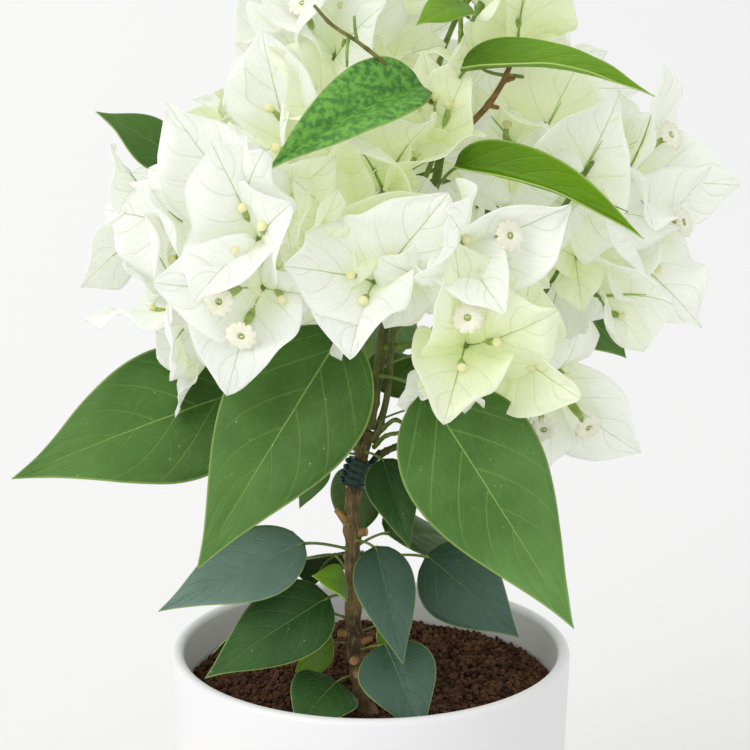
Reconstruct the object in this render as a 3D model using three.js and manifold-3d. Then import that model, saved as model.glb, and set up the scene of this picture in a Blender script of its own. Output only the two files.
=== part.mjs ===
// A potted bougainvillea with white bracts, built together with its pot.
// Millimetres and degrees, +Z up. The origin is the centre of the pot's flat underside. The front faces -Y.
// A heading turns about +Z: 0 is +X (right), 90 is +Y (back), 180 is left and -90 is the front.
// A rise is the angle above level. A place in the crown is [heading, reach from the pot's axis, height].

import * as THREE from "three";
import { mergeVertices } from "three/addons/utils/BufferGeometryUtils.js";
import Module from "manifold-3d";

const wasm = await Module();
wasm.setup();

// Driving dimensions

const GAP = 0.3; // clear distance between any two nodes
const FINE = 0.12; // detail smaller than this is smoothed away where parts are fused
const POT = { height: 115, rim: 60, foot: 56, wall: 3.7, floor: 6, footChamfer: 1.5, sides: 36 };
const SOIL = { level: 103, below: 12, edge: 0.8 };
const TRUNK = { flare: 3.9, middle: 2.35, top: 1.9, flareHeight: 7, fork: 187, sides: 8 };
const TIE = { height: 174.5, band: 8, wall: 1.5, tilt: 5, beads: 3 };
const BLADE = { thickness: 0.9, fold: 12, petiole: 0.75, root: 0.3 };
const BRACT = { thickness: 0.7, wide: 0.84, fold: 14, curl: 24, lap: 24, apart: 0.5 };
const FLOWER = { from: 0.22, tube: 1.2, length: 12, disc: 4.6, cup: 2.2, dome: 0.5 };
const TWIG = { stem: 1.35, tip: 1.4, hub: 1 };
const CROWN = { middle: 258, high: 86, reach: 60 }; // the shell that the unseen sides' blossom stands on

// Colours and materials

function material(color, roughness) {
  return new THREE.MeshStandardMaterial({ color, roughness, metalness: 0, side: THREE.DoubleSide });
}

const GLAZE = material(0xf1f0ee, 0.42);
const PEAT = material(0x3d2a1e, 0.95);
const BARK = material(0x77604a, 0.85);
const GREEN_BARK = material(0x6f7434, 0.7);
const TIE_GREEN = material(0x17443c, 0.5);
const LEAF = material(0x3f7a33, 0.5);
const DARK_LEAF = material(0x2d5a3c, 0.5);
const WHITE_BRACT = material(0xeff3e4, 0.6);

// Directions and places

const { degToRad } = THREE.MathUtils;

function point(x, y, z) {
  return new THREE.Vector3(x, y, z);
}

function direction(heading, rise) {
  const [turn, lift] = [degToRad(heading), degToRad(rise)];
  return point(Math.cos(lift) * Math.cos(turn), Math.cos(lift) * Math.sin(turn), Math.sin(lift));
}

function place([heading, reach, height]) {
  return direction(heading, 0).multiplyScalar(reach).setZ(height);
}

/** The level direction to the right of a heading. */
function rightOf(heading) {
  return direction(heading - 90, 0);
}

function along(start, way, distance) {
  return start.clone().addScaledVector(way, distance);
}

/** A repeatable row of even numbers from 0 to 1, the same in any language. */
function seeded(seed) {
  let state = seed;
  const next = () => {
    state = (state * 1664525 + 1013904223) % 4294967296;
    return state / 4294967296;
  };
  return { next, between: (low, high) => low + (high - low) * next() };
}

// Solids

function solidOf(geometry) {
  geometry.deleteAttribute("normal");
  geometry.deleteAttribute("uv");
  const merged = mergeVertices(geometry, 1e-4);
  const vertProperties = new Float32Array(merged.attributes.position.array);
  const triVerts = new Uint32Array(merged.index.array);
  return new wasm.Manifold(new wasm.Mesh({ numProp: 3, vertProperties, triVerts }));
}

/** A closed solid through rings of points that turn right-handed about the way from start to end. */
function loft(start, rings, end) {
  const sides = rings[0].length;
  const corners = [start, ...rings.flat(), end];
  const last = corners.length - 1;
  const corner = (row, side) => 1 + row * sides + (side % sides);
  const faces = [];
  for (let side = 0; side < sides; side++) {
    faces.push(0, corner(0, side + 1), corner(0, side));
    for (let row = 0; row + 1 < rings.length; row++) {
      const [a, b] = [corner(row, side), corner(row, side + 1)];
      const [c, d] = [corner(row + 1, side + 1), corner(row + 1, side)];
      faces.push(a, b, c, a, c, d);
    }
    faces.push(last, corner(rings.length - 1, side), corner(rings.length - 1, side + 1));
  }
  const geometry = new THREE.BufferGeometry().setFromPoints(corners);
  geometry.setIndex(faces);
  return solidOf(geometry);
}

/** Points round a centre, square to a way; the first lies square to the reference too. */
function ringAt(centre, way, reference, radius, sides) {
  const across = reference.clone().cross(way).normalize();
  const up = way.clone().cross(across);
  return Array.from({ length: sides }, (_, side) => {
    const turn = (side / sides) * 2 * Math.PI;
    const spoke = across.clone().multiplyScalar(Math.cos(turn)).addScaledVector(up, Math.sin(turn));
    return along(centre, spoke, radius);
  });
}

/** A tapering limb along a curve, cut flat at both ends. */
function tube(curve, radiusAt, sides, steps) {
  const chord = curve.getPoint(1).sub(curve.getPoint(0));
  const upright = Math.hypot(chord.x, chord.y) < Math.abs(chord.z);
  const reference = upright ? point(1, 0, 0) : point(0, 0, 1);
  const rings = Array.from({ length: steps + 1 }, (_, step) => {
    const t = step / steps;
    return ringAt(curve.getPoint(t), curve.getTangent(t), reference, radiusAt(t), sides);
  });
  return loft(curve.getPoint(0), rings, curve.getPoint(1));
}

function taper(first, last) {
  return (t) => first + (last - first) * t;
}

/** The parts fused into one body, with sealed hollows filled and loose scraps dropped. */
function fuse(parts) {
  const bodies = wasm.Manifold.union(parts).simplify(FINE).decompose();
  return bodies.reduce((best, body) => (body.volume() > best.volume() ? body : best));
}

// Blades: a leaf or bract is a lens in section, pointed at both ends and bent along its midrib

function leafOutline(s) {
  return Math.sin(Math.PI * s ** 0.6) * (1 - 0.35 * s ** 4);
}

function bractOutline(s) {
  return Math.sin(Math.PI * s ** 0.66) ** 0.7;
}

/** The place and the facing side of the midrib at s, from 0 at the base to 1 at the tip. */
function midrib({ base, way, face, length, droop }, s) {
  const bend = degToRad(droop || 0.01);
  const [ahead, down] = [Math.sin(bend * s) / bend, (1 - Math.cos(bend * s)) / bend];
  const centre = along(along(base, way, length * ahead), face, -length * down);
  const up = face.clone().multiplyScalar(Math.cos(bend * s)).addScaledVector(way, Math.sin(bend * s));
  return { centre, up };
}

function bladeSolid(blade, outline, stations, thickness) {
  const right = blade.way.clone().cross(blade.face);
  const lift = degToRad(blade.fold);
  const rings = stations.map((s) => {
    const { centre, up } = midrib(blade, s);
    const half = (blade.width / 2) * outline(s);
    const edge = (sign) => {
      const side = along(centre, right, sign * half * Math.cos(lift));
      return along(side, up, half * Math.sin(lift));
    };
    return [edge(-1), along(centre, up, thickness / 2), edge(1), along(centre, up, -thickness / 2)];
  });
  return loft(along(blade.base, blade.way, -BLADE.root), rings, midrib(blade, 1).centre);
}

function bladeFrame(heading, rise, roll) {
  const way = direction(heading, rise);
  const upright = rightOf(heading).cross(way);
  return { way, face: upright.applyAxisAngle(way, degToRad(roll)) };
}

const LEAF_STATIONS = [0.12, 0.42, 0.74];
const BRACT_STATIONS = [0.3, 0.72];

/** A leaf on its petiole. */
function leafParts(start, { petiole, blade, shape: [width, roll, droop] }) {
  const [petioleHeading, petioleRise, petioleLength] = petiole;
  const [heading, rise, length] = blade;
  const stalk = direction(petioleHeading, petioleRise);
  const base = along(start, stalk, petioleLength);
  const frame = bladeFrame(heading, rise, roll);
  const leaf = { base, ...frame, length, width, droop, fold: BLADE.fold };
  const inside = midrib(leaf, 0.06).centre;
  const knee = along(start, stalk, petioleLength * 0.6).add(point(0, 0, petioleLength * 0.12));
  const curve = new THREE.QuadraticBezierCurve3(start, knee, inside);
  return [
    tube(curve, taper(BLADE.petiole * 1.15, BLADE.petiole), 3, 2),
    bladeSolid(leaf, leafOutline, LEAF_STATIONS, BLADE.thickness),
  ];
}

/** A direction that turns by some degrees from one towards another, square to it. */
function leaning(degrees, from, to) {
  const angle = degToRad(degrees);
  return from.clone().multiplyScalar(Math.cos(angle)).addScaledVector(to, Math.sin(angle));
}

/**
 * One bract of a head, with a flower before it or none. Seen from the way that the head faces, clock is its
 * turn from the top, and open is its angle from the head's axis.
 */
function bractParts(base, facing, { clock, open, length, flower }) {
  const axis = direction(...facing);
  const left = rightOf(facing[0]);
  const out = leaning(clock, left.clone().cross(axis), left.clone().negate());
  const way = leaning(open, axis, out);
  const face = leaning(open, out.clone().negate(), axis).applyAxisAngle(way, degToRad(BRACT.lap));
  const root = along(base, out, BRACT.apart);
  const width = length * BRACT.wide;
  const shape = { base: root, way, face, length, width, droop: BRACT.curl, fold: BRACT.fold };
  const parts = [bladeSolid(shape, bractOutline, BRACT_STATIONS, BRACT.thickness)];
  if (flower) parts.push(flowerSolid(midrib(shape, FLOWER.from).centre, leaning(open * 0.4, axis, out)));
  return parts;
}

/** A flower tube that leaves the bract's midrib and ends in a flat disc. */
function flowerSolid(base, way) {
  const reference = Math.abs(way.z) < 0.9 ? point(0, 0, 1) : point(1, 0, 0);
  const { tube: thick, length, disc, cup, dome } = FLOWER;
  const at = (distance) => along(base, way, distance);
  const neck = loft(base, [ringAt(at(length / 2), way, reference, thick, 3)], at(length));
  const rim = ringAt(at(length), way, reference, disc, 6);
  return neck.add(loft(at(length - cup), [rim], at(length + dome)));
}

// Limbs

const TIP = "tip";

/** A limb along a curve, with the solid that stands for it. */
function limb(curve, radiusAt, sides, steps) {
  const atHeight = (height) => {
    let [low, high] = [0, 1];
    for (let halving = 0; halving < 30; halving++) {
      const middle = (low + high) / 2;
      if (curve.getPoint(middle).z < height) low = middle;
      else high = middle;
    }
    return low;
  };
  const solid = tube(curve, radiusAt, sides, steps);
  /** Side parts grown from a height: moved out along their heading until the first is clear of the bark. */
  const sprout = (height, heading, grow) => {
    const t = height === TIP ? 1 : atHeight(height);
    const way = height === TIP ? curve.getTangent(1) : direction(heading, 0);
    let out = height === TIP ? GAP : radiusAt(t);
    let parts = grow(along(curve.getPoint(t), way, out));
    while (own.solid.minGap(parts[0], GAP) < GAP) {
      out += GAP / 3;
      parts = grow(along(curve.getPoint(t), way, out));
    }
    return parts;
  };
  const own = { solid, sprout, curve, atHeight };
  return own;
}

/** A smooth curve through places; the centripetal one keeps from looping where they are unevenly spaced. */
function through(places, type = "catmullrom") {
  return new THREE.CatmullRomCurve3(places.map((xyz) => point(...xyz)), false, type, 0.5);
}

/** A root flare that dies away up the trunk, then an even taper to the fork. */
function trunkRadius(t) {
  const up = t * (TRUNK.fork - SOIL.level);
  const flare = (TRUNK.flare - TRUNK.middle) * Math.exp((-2.5 * up) / TRUNK.flareHeight);
  return taper(TRUNK.middle, TRUNK.top)(t) + flare;
}

const foot = SOIL.level + GAP;
const trunk = limb(
  through([
    [-0.6, -24.1, foot - 2], [-3.4, -23, 113], [-5.2, -20.5, 131],
    [-5.4, -17.5, 153], [-5.2, -15.6, 168], [-0.8, -13, TRUNK.fork],
  ]),
  trunkRadius, TRUNK.sides, 15,
);

const limbs = {
  trunk,
  leader: limb(
    through([
      [-0.6, -13, TRUNK.fork + 0.5], [2, -10.6, 203], [5.4, -7.2, 222],
      [17.4, -0.5, 252], [24, 3.5, 290], [31, 6, 307],
    ]),
    taper(1.75, 1.15), 6, 14,
  ),
};

const shoots = {
  bough_left: {
    from: "trunk", height: 183, heading: 170, rise: 50,
    bow: [-6, -9, 222], end: [-26, -4, 262], radius: 1.3,
  },
  bough_back_left: {
    from: "trunk", height: 180, heading: 115, rise: 45,
    bow: [-8, 16, 210], end: [-22, 34, 250], radius: 1.3,
  },
  bough_back_right: {
    from: "leader", height: 207, heading: 75, rise: 40,
    bow: [16, 16, 222], end: [24, 36, 256], radius: 1.3,
  },
  bough_right: {
    from: "leader", height: 217, heading: 35, rise: 30,
    bow: [28, 8, 231], end: [52, 6, 246], radius: 1.25,
  },
};

for (const [name, { from, height, heading, rise, bow, end, radius }] of Object.entries(shoots)) {
  limbs[from].sprout(height, heading, (start) => {
    const first = along(start, direction(heading, rise), 5);
    const curve = through([start.toArray(), first.toArray(), bow, end], "centripetal");
    limbs[name] = limb(curve, taper(radius, radius * 0.75), 6, 9);
    return [limbs[name].solid];
  });
}

// Single leaves, each a node named leaf_ and its key. on is [limb, height on it], petiole and blade are [heading, rise, length],
// and shape is the blade's [width, roll about its midrib, droop to its tip]

const LEAVES = {
  low_left: { on: ["trunk", 152], petiole: [-147, 20, 15], blade: [-159, -16, 47], shape: [24, -38, 12] },
  low_front_left: { on: ["trunk", 139], petiole: [-131, 11, 8], blade: [-146, -18, 44], shape: [24, -46, 22] },
  young: { on: ["trunk", 141], petiole: [-100, 19, 6], blade: [-118, 40, 16], shape: [12, -60, 40] },
  low_pale: { on: ["trunk", 123], petiole: [134, -10, 7], blade: [140, -38, 22], shape: [15, -60, 10] },
  foot_front: { on: ["trunk", 115], petiole: [-125, 6, 8], blade: [-118, -6, 24], shape: [21, -20, 30] },
  low_front: { on: ["trunk", 155], petiole: [-57, 8, 10], blade: [-67, -53, 36], shape: [18, 12, 10] },
  low_right: { on: ["trunk", 148], petiole: [22, -2, 21], blade: [-17, -36, 38], shape: [26, 52, 20] },
  foot_right: { on: ["trunk", 122], petiole: [-49, 28, 12], blade: [-65, -34, 31], shape: [23, 20, 22] },
  tie_right: { on: ["trunk", 181], petiole: [-60, 4, 9], blade: [-64, -49, 28], shape: [15, 16, 10] },
  behind_trunk: { on: ["trunk", 163], petiole: [82, 24, 17], blade: [130, -74, 27], shape: [19, -100, 8] },
  low_back_right: { on: ["trunk", 152], petiole: [56, 0, 15], blade: [40, -10, 37], shape: [20, 30, 20] },
  small_right: { on: ["trunk", 133], petiole: [52, 6, 11], blade: [54, -30, 18], shape: [11, 60, 20] },
  small_bright: { on: ["trunk", 127], petiole: [0, 30, 6], blade: [-30, -62, 14], shape: [7, 20, 10] },
  tie_left: { on: ["trunk", 180], petiole: [-170, 4, 10], blade: [155, -66, 20], shape: [11, -80, 10] },
  great_front: { on: ["leader", 222], petiole: [-119, 0, 25], blade: [-138, -46, 80], shape: [41, -36, 8] },
  great_left: { on: ["bough_left", 204], petiole: [-165, -4, 26], blade: [-163, -14, 76], shape: [42, -50, 14] },
  great_right: { on: ["leader", 203], petiole: [-62, 6, 26], blade: [-32, -50, 80], shape: [41, 42, 10] },
  mid_back: { on: ["leader", 196], petiole: [84, -4, 11], blade: [48, 20, 28], shape: [19, 35, 30] },
  mid_right: { on: ["leader", 205], petiole: [47, 0, 24], blade: [40, -32, 36], shape: [20, 60, 15] },
  hook: { on: ["leader", 189], petiole: [10, 20, 12], blade: [40, -66, 12], shape: [9, 60, 10] },
  right: { on: ["bough_right", 236], petiole: [20, -20, 12], blade: [-4, -44, 42], shape: [32, 56, 12] },
  arched_right: { on: ["leader", 256], petiole: [-70, 35, 18], blade: [-32, 4, 60], shape: [20, 40, 42] },
  great_back: { on: ["bough_back_left", 212], petiole: [80, 0, 22], blade: [96, -34, 76], shape: [42, 8, 12] },
  great_back_left: {
    on: ["bough_back_left", 200], petiole: [150, 0, 22], blade: [142, -30, 72], shape: [40, -6, 14],
  },
  great_back_right: {
    on: ["bough_back_right", 218], petiole: [40, -8, 18], blade: [48, -38, 76], shape: [42, 0, 10],
  },
  low_back: { on: ["trunk", 143], petiole: [112, 16, 12], blade: [104, -24, 40], shape: [23, 0, 20] },
  low_back_left: { on: ["trunk", 131], petiole: [165, 14, 10], blade: [158, -20, 38], shape: [22, 10, 20] },
  mottled: { on: ["leader", 279], petiole: [-114, 31, 20], blade: [-135, -4, 56], shape: [25, -34, 38] },
  arched_top: { on: ["leader", 280], petiole: [-77, 45, 19], blade: [-26, 14, 58], shape: [17, 26, 36] },
};

// Masses of blossom: each grows by one stem from a bough, and its twigs spread to every cluster in it

const MASSES = {
  crown_front: { on: ["leader", 227], blossom: [
    { at: [-88, 30, 236], facing: [-94, 18], bracts: [[45, 44, 38], [280, 28, 36], [200, 32, 34]], flowers: 0 },
    { at: [-112, 17, 243], facing: [-82, 26], bracts: [[75, 44, 35], [320, 30, 34], [220, 34, 32]], flowers: 0 },
    { at: [-71, 11, 259], facing: [20, 76], bracts: [[325, 50, 34], [280, 34, 34], [220, 62, 34]], flowers: 1 },
    { at: [-159, 11, 252], facing: [-106, 28], bracts: [[275, 28, 33], [35, 30, 33], [180, 30, 33]], flowers: 0 },
    { at: [-22, 20, 271], facing: [-90, 66], bracts: [[300, 20, 34], [60, 20, 33], [0, 22, 33]], flowers: 0 },
  ] },
  crown_front_right: { on: ["leader", 211], blossom: [
    { at: [-54, 42, 246], facing: [-72, 14], bracts: [[70, 38, 36], [325, 40, 35], [170, 30, 35]], flowers: 1 },
    { at: [-50, 42, 218], facing: [-84, 8], bracts: [[215, 27, 33], [350, 42, 39], [70, 34, 36]], flowers: 1 },
    { at: [-29, 46, 214], facing: [-92, 8], bracts: [[20, 38, 32], [120, 30, 32], [255, 42, 34]], flowers: 0 },
    { at: [-7, 52, 201], facing: [-72, -18], bracts: [[240, 36, 35], [130, 34, 35], [5, 44, 34]], flowers: 2 },
  ] },
  crown_left: { on: ["bough_left", 232], blossom: [
    { at: [-130, 47, 236], facing: [-98, -8], bracts: [[290, 40, 35], [205, 28, 35], [85, 74, 30]], flowers: 2 },
    { at: [-144, 45, 257], facing: [-120, 16], bracts: [[345, 34, 39], [285, 80, 34], [60, 58, 35]], flowers: 0 },
    { at: [-134, 45, 249], facing: [-98, 26], bracts: [[335, 26, 36], [85, 36, 34], [215, 38, 34]], flowers: 1 },
    { at: [-164, 52, 222], facing: [176, 26], bracts: [[45, 40, 41], [100, 76, 34], [200, 20, 34]], flowers: 0 },
    { at: [-160, 52, 248], facing: [-150, 8], bracts: [[60, 30, 34], [275, 50, 34], [150, 52, 34]], flowers: 2 },
    { at: [-150, 35, 233], facing: [-84, 36], bracts: [[280, 36, 33], [30, 22, 33], [125, 32, 33]], flowers: 0 },
    { at: [172, 60, 246], facing: [170, 14], bracts: [[260, 44, 34], [150, 46, 33], [35, 38, 30]], flowers: 0 },
  ], leaves: [
    { at: [158, 51, 254], petiole: [170, 30, 8], blade: [-172, 40, 32], shape: [20, -40, 20] },
  ] },
  crown_right: { on: ["bough_right", 240], blossom: [
    { at: [2, 73, 238], facing: [-40, 12], bracts: [[45, 30, 36], [300, 50, 34], [180, 36, 34]], flowers: 1 },
    { at: [-3, 67, 225], facing: [-8, 8], bracts: [[285, 40, 36], [230, 62, 35], [20, 48, 34]], flowers: 0 },
    { at: [8, 57, 234], facing: [-60, -10], bracts: [[235, 40, 33], [120, 34, 34], [350, 44, 33]], flowers: 0 },
    { at: [14, 40, 260], facing: [-96, 34], bracts: [[255, 34, 34], [10, 46, 34], [120, 38, 34]], flowers: 0 },
    { at: [24, 62, 248], facing: [30, 8], bracts: [[20, 42, 36], [140, 46, 36], [260, 48, 36]], flowers: 0 },
    { at: [-4, 56, 252], facing: [-10, 56], bracts: [[295, 12, 43], [55, 56, 34], [190, 54, 34]], flowers: 0 },
    { at: [9, 76, 257], facing: [-44, 12], bracts: [[10, 50, 35], [115, 26, 33], [245, 34, 33]], flowers: 1 },
    { at: [12, 47, 261], facing: [10, 62], bracts: [[295, 18, 40], [350, 58, 34], [200, 58, 32]], flowers: 0 },
  ] },
  crown_top_left: { on: ["bough_left", TIP], blossom: [
    { at: [180, 23, 268], facing: [-136, 24], bracts: [[5, 42, 36], [240, 40, 34], [110, 36, 36]], flowers: 1 },
    { at: [165, 8, 274], facing: [-100, 48], bracts: [[300, 24, 35], [60, 60, 33], [190, 44, 32]], flowers: 0 },
    { at: [124, 19, 292], facing: [-90, 44], bracts: [[305, 44, 38], [15, 40, 38], [110, 40, 36]], flowers: 1 },
    { at: [140, 24, 294], facing: [150, 62], bracts: [[30, 42, 38], [150, 46, 38], [270, 44, 38]], flowers: 0 },
  ] },
  crown_top: { on: ["leader", TIP], blossom: [
    { at: [0, 42, 298], facing: [-60, 80], bracts: [[220, 20, 34], [90, 50, 34], [330, 50, 34]], flowers: 0 },
    { at: [40, 26, 322], facing: [-60, 72], bracts: [[40, 42, 36], [160, 44, 36], [280, 46, 36]], flowers: 1 },
  ], leaves: [
    { at: [-10, 26, 308], petiole: [-78, 30, 8], blade: [-121, 4, 26], shape: [13, -20, 20] },
  ] },
};

// The sides that face away are filled by a rule: blossom spread evenly over a patch of the crown's shell

const PATCHES = {
  crown_back_left: {
    on: ["bough_back_left", 230], headings: [112, 160], heights: [216, 274], count: 4, seed: 11,
  },
  crown_back: {
    on: ["bough_back_left", 244], headings: [72, 112], heights: [222, 290], count: 5, seed: 23,
  },
  crown_back_right: {
    on: ["bough_back_right", 238], headings: [30, 72], heights: [212, 284], count: 4, seed: 37,
  },
  crown_back_top: {
    on: ["bough_back_right", TIP], headings: [40, 130], heights: [298, 322], count: 3, seed: 41,
  },
};

/** How far the shell of blossom stands from the pot's axis at a height. */
function shellReach(height) {
  const up = (height - CROWN.middle) / CROWN.high;
  return CROWN.reach * Math.sqrt(Math.max(0, 1 - up * up));
}

const GOLDEN = 0.618034;

function spread({ headings, heights, count, seed }) {
  const chance = seeded(seed);
  const blossom = Array.from({ length: count }, (_, index) => {
    const heading = headings[0] + (headings[1] - headings[0]) * ((0.5 + index * GOLDEN) % 1);
    const height = heights[0] + (heights[1] - heights[0]) * ((index + 0.5) / count);
    const rise = (height - CROWN.middle) * 0.8;
    const facing = [heading + chance.between(-14, 14), rise + chance.between(-10, 10)];
    const clock = chance.between(0, 120);
    const length = chance.between(35, 40);
    const bracts = [0, 120, 240].map((turn) => [clock + turn, chance.between(36, 50), length]);
    const flowers = Math.floor(chance.between(0, 2.5));
    return { at: [heading, shellReach(height), height], facing, bracts, flowers };
  });
  return { blossom };
}

// Building, in an order that lets each mass keep clear of what already stands

const group = new THREE.Group();
const standing = [];
const counts = { kept: 0, skipped: 0 };

function add(name, solid, finish) {
  const { vertProperties, triVerts, numProp } = solid.getMesh();
  const geometry = new THREE.BufferGeometry();
  const positions = new Float32Array((vertProperties.length / numProp) * 3);
  for (let index = 0; index < positions.length; index++) {
    positions[index] = vertProperties[Math.floor(index / 3) * numProp + (index % 3)];
  }
  geometry.setAttribute("position", new THREE.BufferAttribute(positions, 3));
  geometry.setIndex([...triVerts]);
  const mesh = new THREE.Mesh(geometry, finish);
  mesh.name = name;
  group.add(mesh);
  standing.push({ name, solid });
}

/** What a solid meets among others, each { name, solid }. */
function met(solid, others) {
  return others.find(({ solid: other }) => other.minGap(solid, GAP) < GAP * 0.95);
}

/** The first of the parts' variants that is clear of every node that stands, or an empty list. */
function firstClear(label, variants, grow) {
  let blocked;
  for (const variant of variants) {
    const parts = grow(variant);
    blocked = parts.map((part) => met(part, standing)).find(Boolean);
    if (!blocked) {
      counts.kept += 1;
      return parts;
    }
  }
  console.log(`skipped ${label}: meets ${blocked.name}`);
  counts.skipped += 1;
  return [];
}

/** A bract that meets something closes or opens a little, or is a smaller one. */
const SETTLINGS = [1, 0.9, 0.8, 0.7, 0.6].flatMap((scale) =>
  [0, -12, 12, -24, 24].map((opening) => ({ scale, opening })),
);

function lathe(profile, sides) {
  const turned = new THREE.LatheGeometry(profile.map(([r, z]) => new THREE.Vector2(r, z)), sides);
  return solidOf(turned.rotateX(Math.PI / 2));
}

function potSolid() {
  const { height, rim, foot: base, wall, floor, footChamfer, sides } = POT;
  const lip = wall / 2;
  const turn = [0, 45, 90, 135, 180].map((angle) => [
    rim - lip + lip * Math.cos(degToRad(angle)), height - lip + lip * Math.sin(degToRad(angle)),
  ]);
  return lathe([
    [0, 0], [base - footChamfer, 0], [base, footChamfer], ...turn,
    [potInside(floor), floor], [0, floor],
  ], sides);
}

/** The inside radius of the pot's wall at a height. */
function potInside(height) {
  const inner = (radius) => radius - POT.wall;
  return inner(POT.foot) + ((inner(POT.rim) - inner(POT.foot)) * height) / POT.height;
}

function soilSolid() {
  const { level, below, edge } = SOIL;
  const bottom = POT.floor + GAP;
  return lathe([
    [0, bottom], [potInside(bottom) - GAP, bottom], [potInside(level) - GAP, level - edge],
    [potInside(level) - below / 4, level], [0, level],
  ], POT.sides);
}

/** Short pruned stubs and knuckles up the trunk, turned by the golden angle. */
function stubs() {
  const heights = [109, 116, 122, 128, 137, 145, 158, 166];
  return heights.map((height, index) => {
    const t = (height - foot) / (TRUNK.fork - foot);
    const centre = trunk.curve.getPoint(t);
    const way = direction(index * 137.5 - 100, 35);
    const curve = new THREE.LineCurve3(centre, along(centre, way, trunkRadius(t) + 1.6 + (index % 3)));
    return tube(curve, taper(1.5, 0.9), 4, 1);
  });
}

/** A ribbed band round the stem, tilted, with a knot of beads on its left and a short tail. */
function tieSolid() {
  const { height, band, wall, tilt, beads } = TIE;
  const t = (height - foot) / (TRUNK.fork - foot);
  const inner = trunkRadius(t) + GAP + 0.5;
  const [outer, half] = [inner + wall, band / 2];
  const ring = lathe([[inner, -half], [outer, -half], [outer, half], [inner, half], [inner, -half]], 20);
  const knots = Array.from({ length: beads }, (_, index) => {
    const bead = new THREE.BoxGeometry(1.6, 2, 1.5);
    bead.translate(-inner - wall, 0, (index - (beads - 1) / 2) * 2.4);
    return solidOf(bead);
  });
  const tail = new THREE.BoxGeometry(1.4, 2.4, 6);
  tail.rotateY(degToRad(35));
  tail.translate(inner + wall + 0.9, 0.5, band / 2 + 1.4);
  const way = trunk.curve.getTangent(t).applyAxisAngle(point(0, 1, 0), degToRad(tilt));
  const turn = new THREE.Matrix4().makeRotationFromQuaternion(
    new THREE.Quaternion().setFromUnitVectors(point(0, 0, 1), way),
  );
  const centre = trunk.curve.getPoint(t);
  turn.setPosition(centre.x, centre.y, centre.z);
  return fuse([ring, ...knots, solidOf(tail)]).transform(turn.elements);
}

/** One mass: its stem and twigs, then each cluster and leaf that stays clear of what stands. */
function massSolid(name, { on: [limbName, height], blossom, leaves = [] }) {
  const heads = blossom.map((cluster) => ({ cluster, base: place(cluster.at) }));
  const centre = heads.reduce((sum, { base }) => sum.add(base), point(0, 0, 0)).divideScalar(heads.length);
  const from = limbs[limbName];
  const foot = from.curve.getPoint(height === TIP ? 1 : from.atHeight(height));
  const heading = THREE.MathUtils.radToDeg(Math.atan2(centre.y - foot.y, centre.x - foot.x));
  let [origin, rising] = [foot, foot];
  const [stem] = from.sprout(height, heading, (start) => {
    const span = Math.max(9, start.distanceTo(centre) * 0.3);
    rising = centre.clone().sub(start).normalize();
    origin = along(start, rising, span * 0.85);
    const line = new THREE.LineCurve3(start, along(start, rising, span));
    return [tube(line, taper(TWIG.stem, TWIG.stem * 0.9), 5, 2)];
  });
  const parts = firstClear(`${name} stem`, [null], () => [stem]);
  if (parts.length === 0) return null;
  heads.forEach(({ cluster, base }, index) => {
    const axis = direction(...cluster.facing);
    const span = base.distanceTo(origin);
    const [leaving, arriving] = [along(origin, rising, span * 0.3), along(base, axis, -span * 0.35)];
    const curve = new THREE.CubicBezierCurve3(origin, leaving, arriving, along(base, axis, TWIG.hub));
    const twig = tube(curve, taper(TWIG.stem * 0.8, TWIG.tip), 3, 3);
    const stalk = firstClear(`${name} twig ${index + 1}`, [null], () => [twig]);
    parts.push(...stalk);
    if (stalk.length === 0) return;
    cluster.bracts.forEach(([clock, open, length], number) => {
      const flower = number < cluster.flowers;
      const grow = ({ scale, opening }) =>
        bractParts(base, cluster.facing, { clock, open: open + opening, length: length * scale, flower });
      parts.push(...firstClear(`${name} head ${index + 1} bract ${number + 1}`, SETTLINGS, grow));
    });
  });
  leaves.forEach((leaf, index) => {
    const base = place(leaf.at);
    const twig = tube(new THREE.LineCurve3(origin, base), taper(TWIG.tip, TWIG.tip * 0.9), 3, 1);
    const grow = () => [twig, ...leafParts(along(base, base.clone().sub(origin).normalize(), -0.5), leaf)];
    parts.push(...firstClear(`${name} leaf ${index + 1}`, [null], grow));
  });
  return fuse(parts);
}

add("pot", potSolid(), GLAZE);
add("soil", soilSolid(), PEAT);
trunk.solid = fuse([trunk.solid, ...stubs()]).trimByPlane([0, 0, 1], foot); // the flat cut at the soil
add("trunk", trunk.solid, BARK);
add("stem_tie", tieSolid(), TIE_GREEN);
for (const [name, { solid }] of Object.entries(limbs)) {
  if (name !== "trunk") add(name, solid, GREEN_BARK);
}
for (const [name, leaf] of Object.entries(LEAVES)) {
  const [limbName, height] = leaf.on;
  const grow = () => limbs[limbName].sprout(height, leaf.petiole[0], (start) => leafParts(start, leaf));
  const parts = firstClear(name, [null], grow);
  if (parts.length > 0) add(`leaf_${name}`, fuse(parts), limbName === "trunk" ? DARK_LEAF : LEAF);
}
for (const [name, mass] of Object.entries(MASSES)) {
  const solid = massSolid(name, mass);
  if (solid) add(name, solid, WHITE_BRACT);
}
for (const [name, patch] of Object.entries(PATCHES)) {
  const solid = massSolid(name, { on: patch.on, ...spread(patch) });
  if (solid) add(name, solid, WHITE_BRACT);
}
console.log(`${counts.kept} leaves and clusters stand, ${counts.skipped} were skipped`);

export default group;
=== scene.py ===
# %% [markdown]
# A potted bougainvillea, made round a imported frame. The frame says where the pot, the limbs, the
# leaves and the masses of blossom are. Each step below takes one of them and gives it the shape
# and the finish of the real one. The sizes are written in millimetres, as a grower would give
# them, and each finished piece is scaled to metres once.

import math

import bmesh
import bpy
from mathutils import Matrix, Vector, noise
from mathutils.bvhtree import BVHTree


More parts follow.
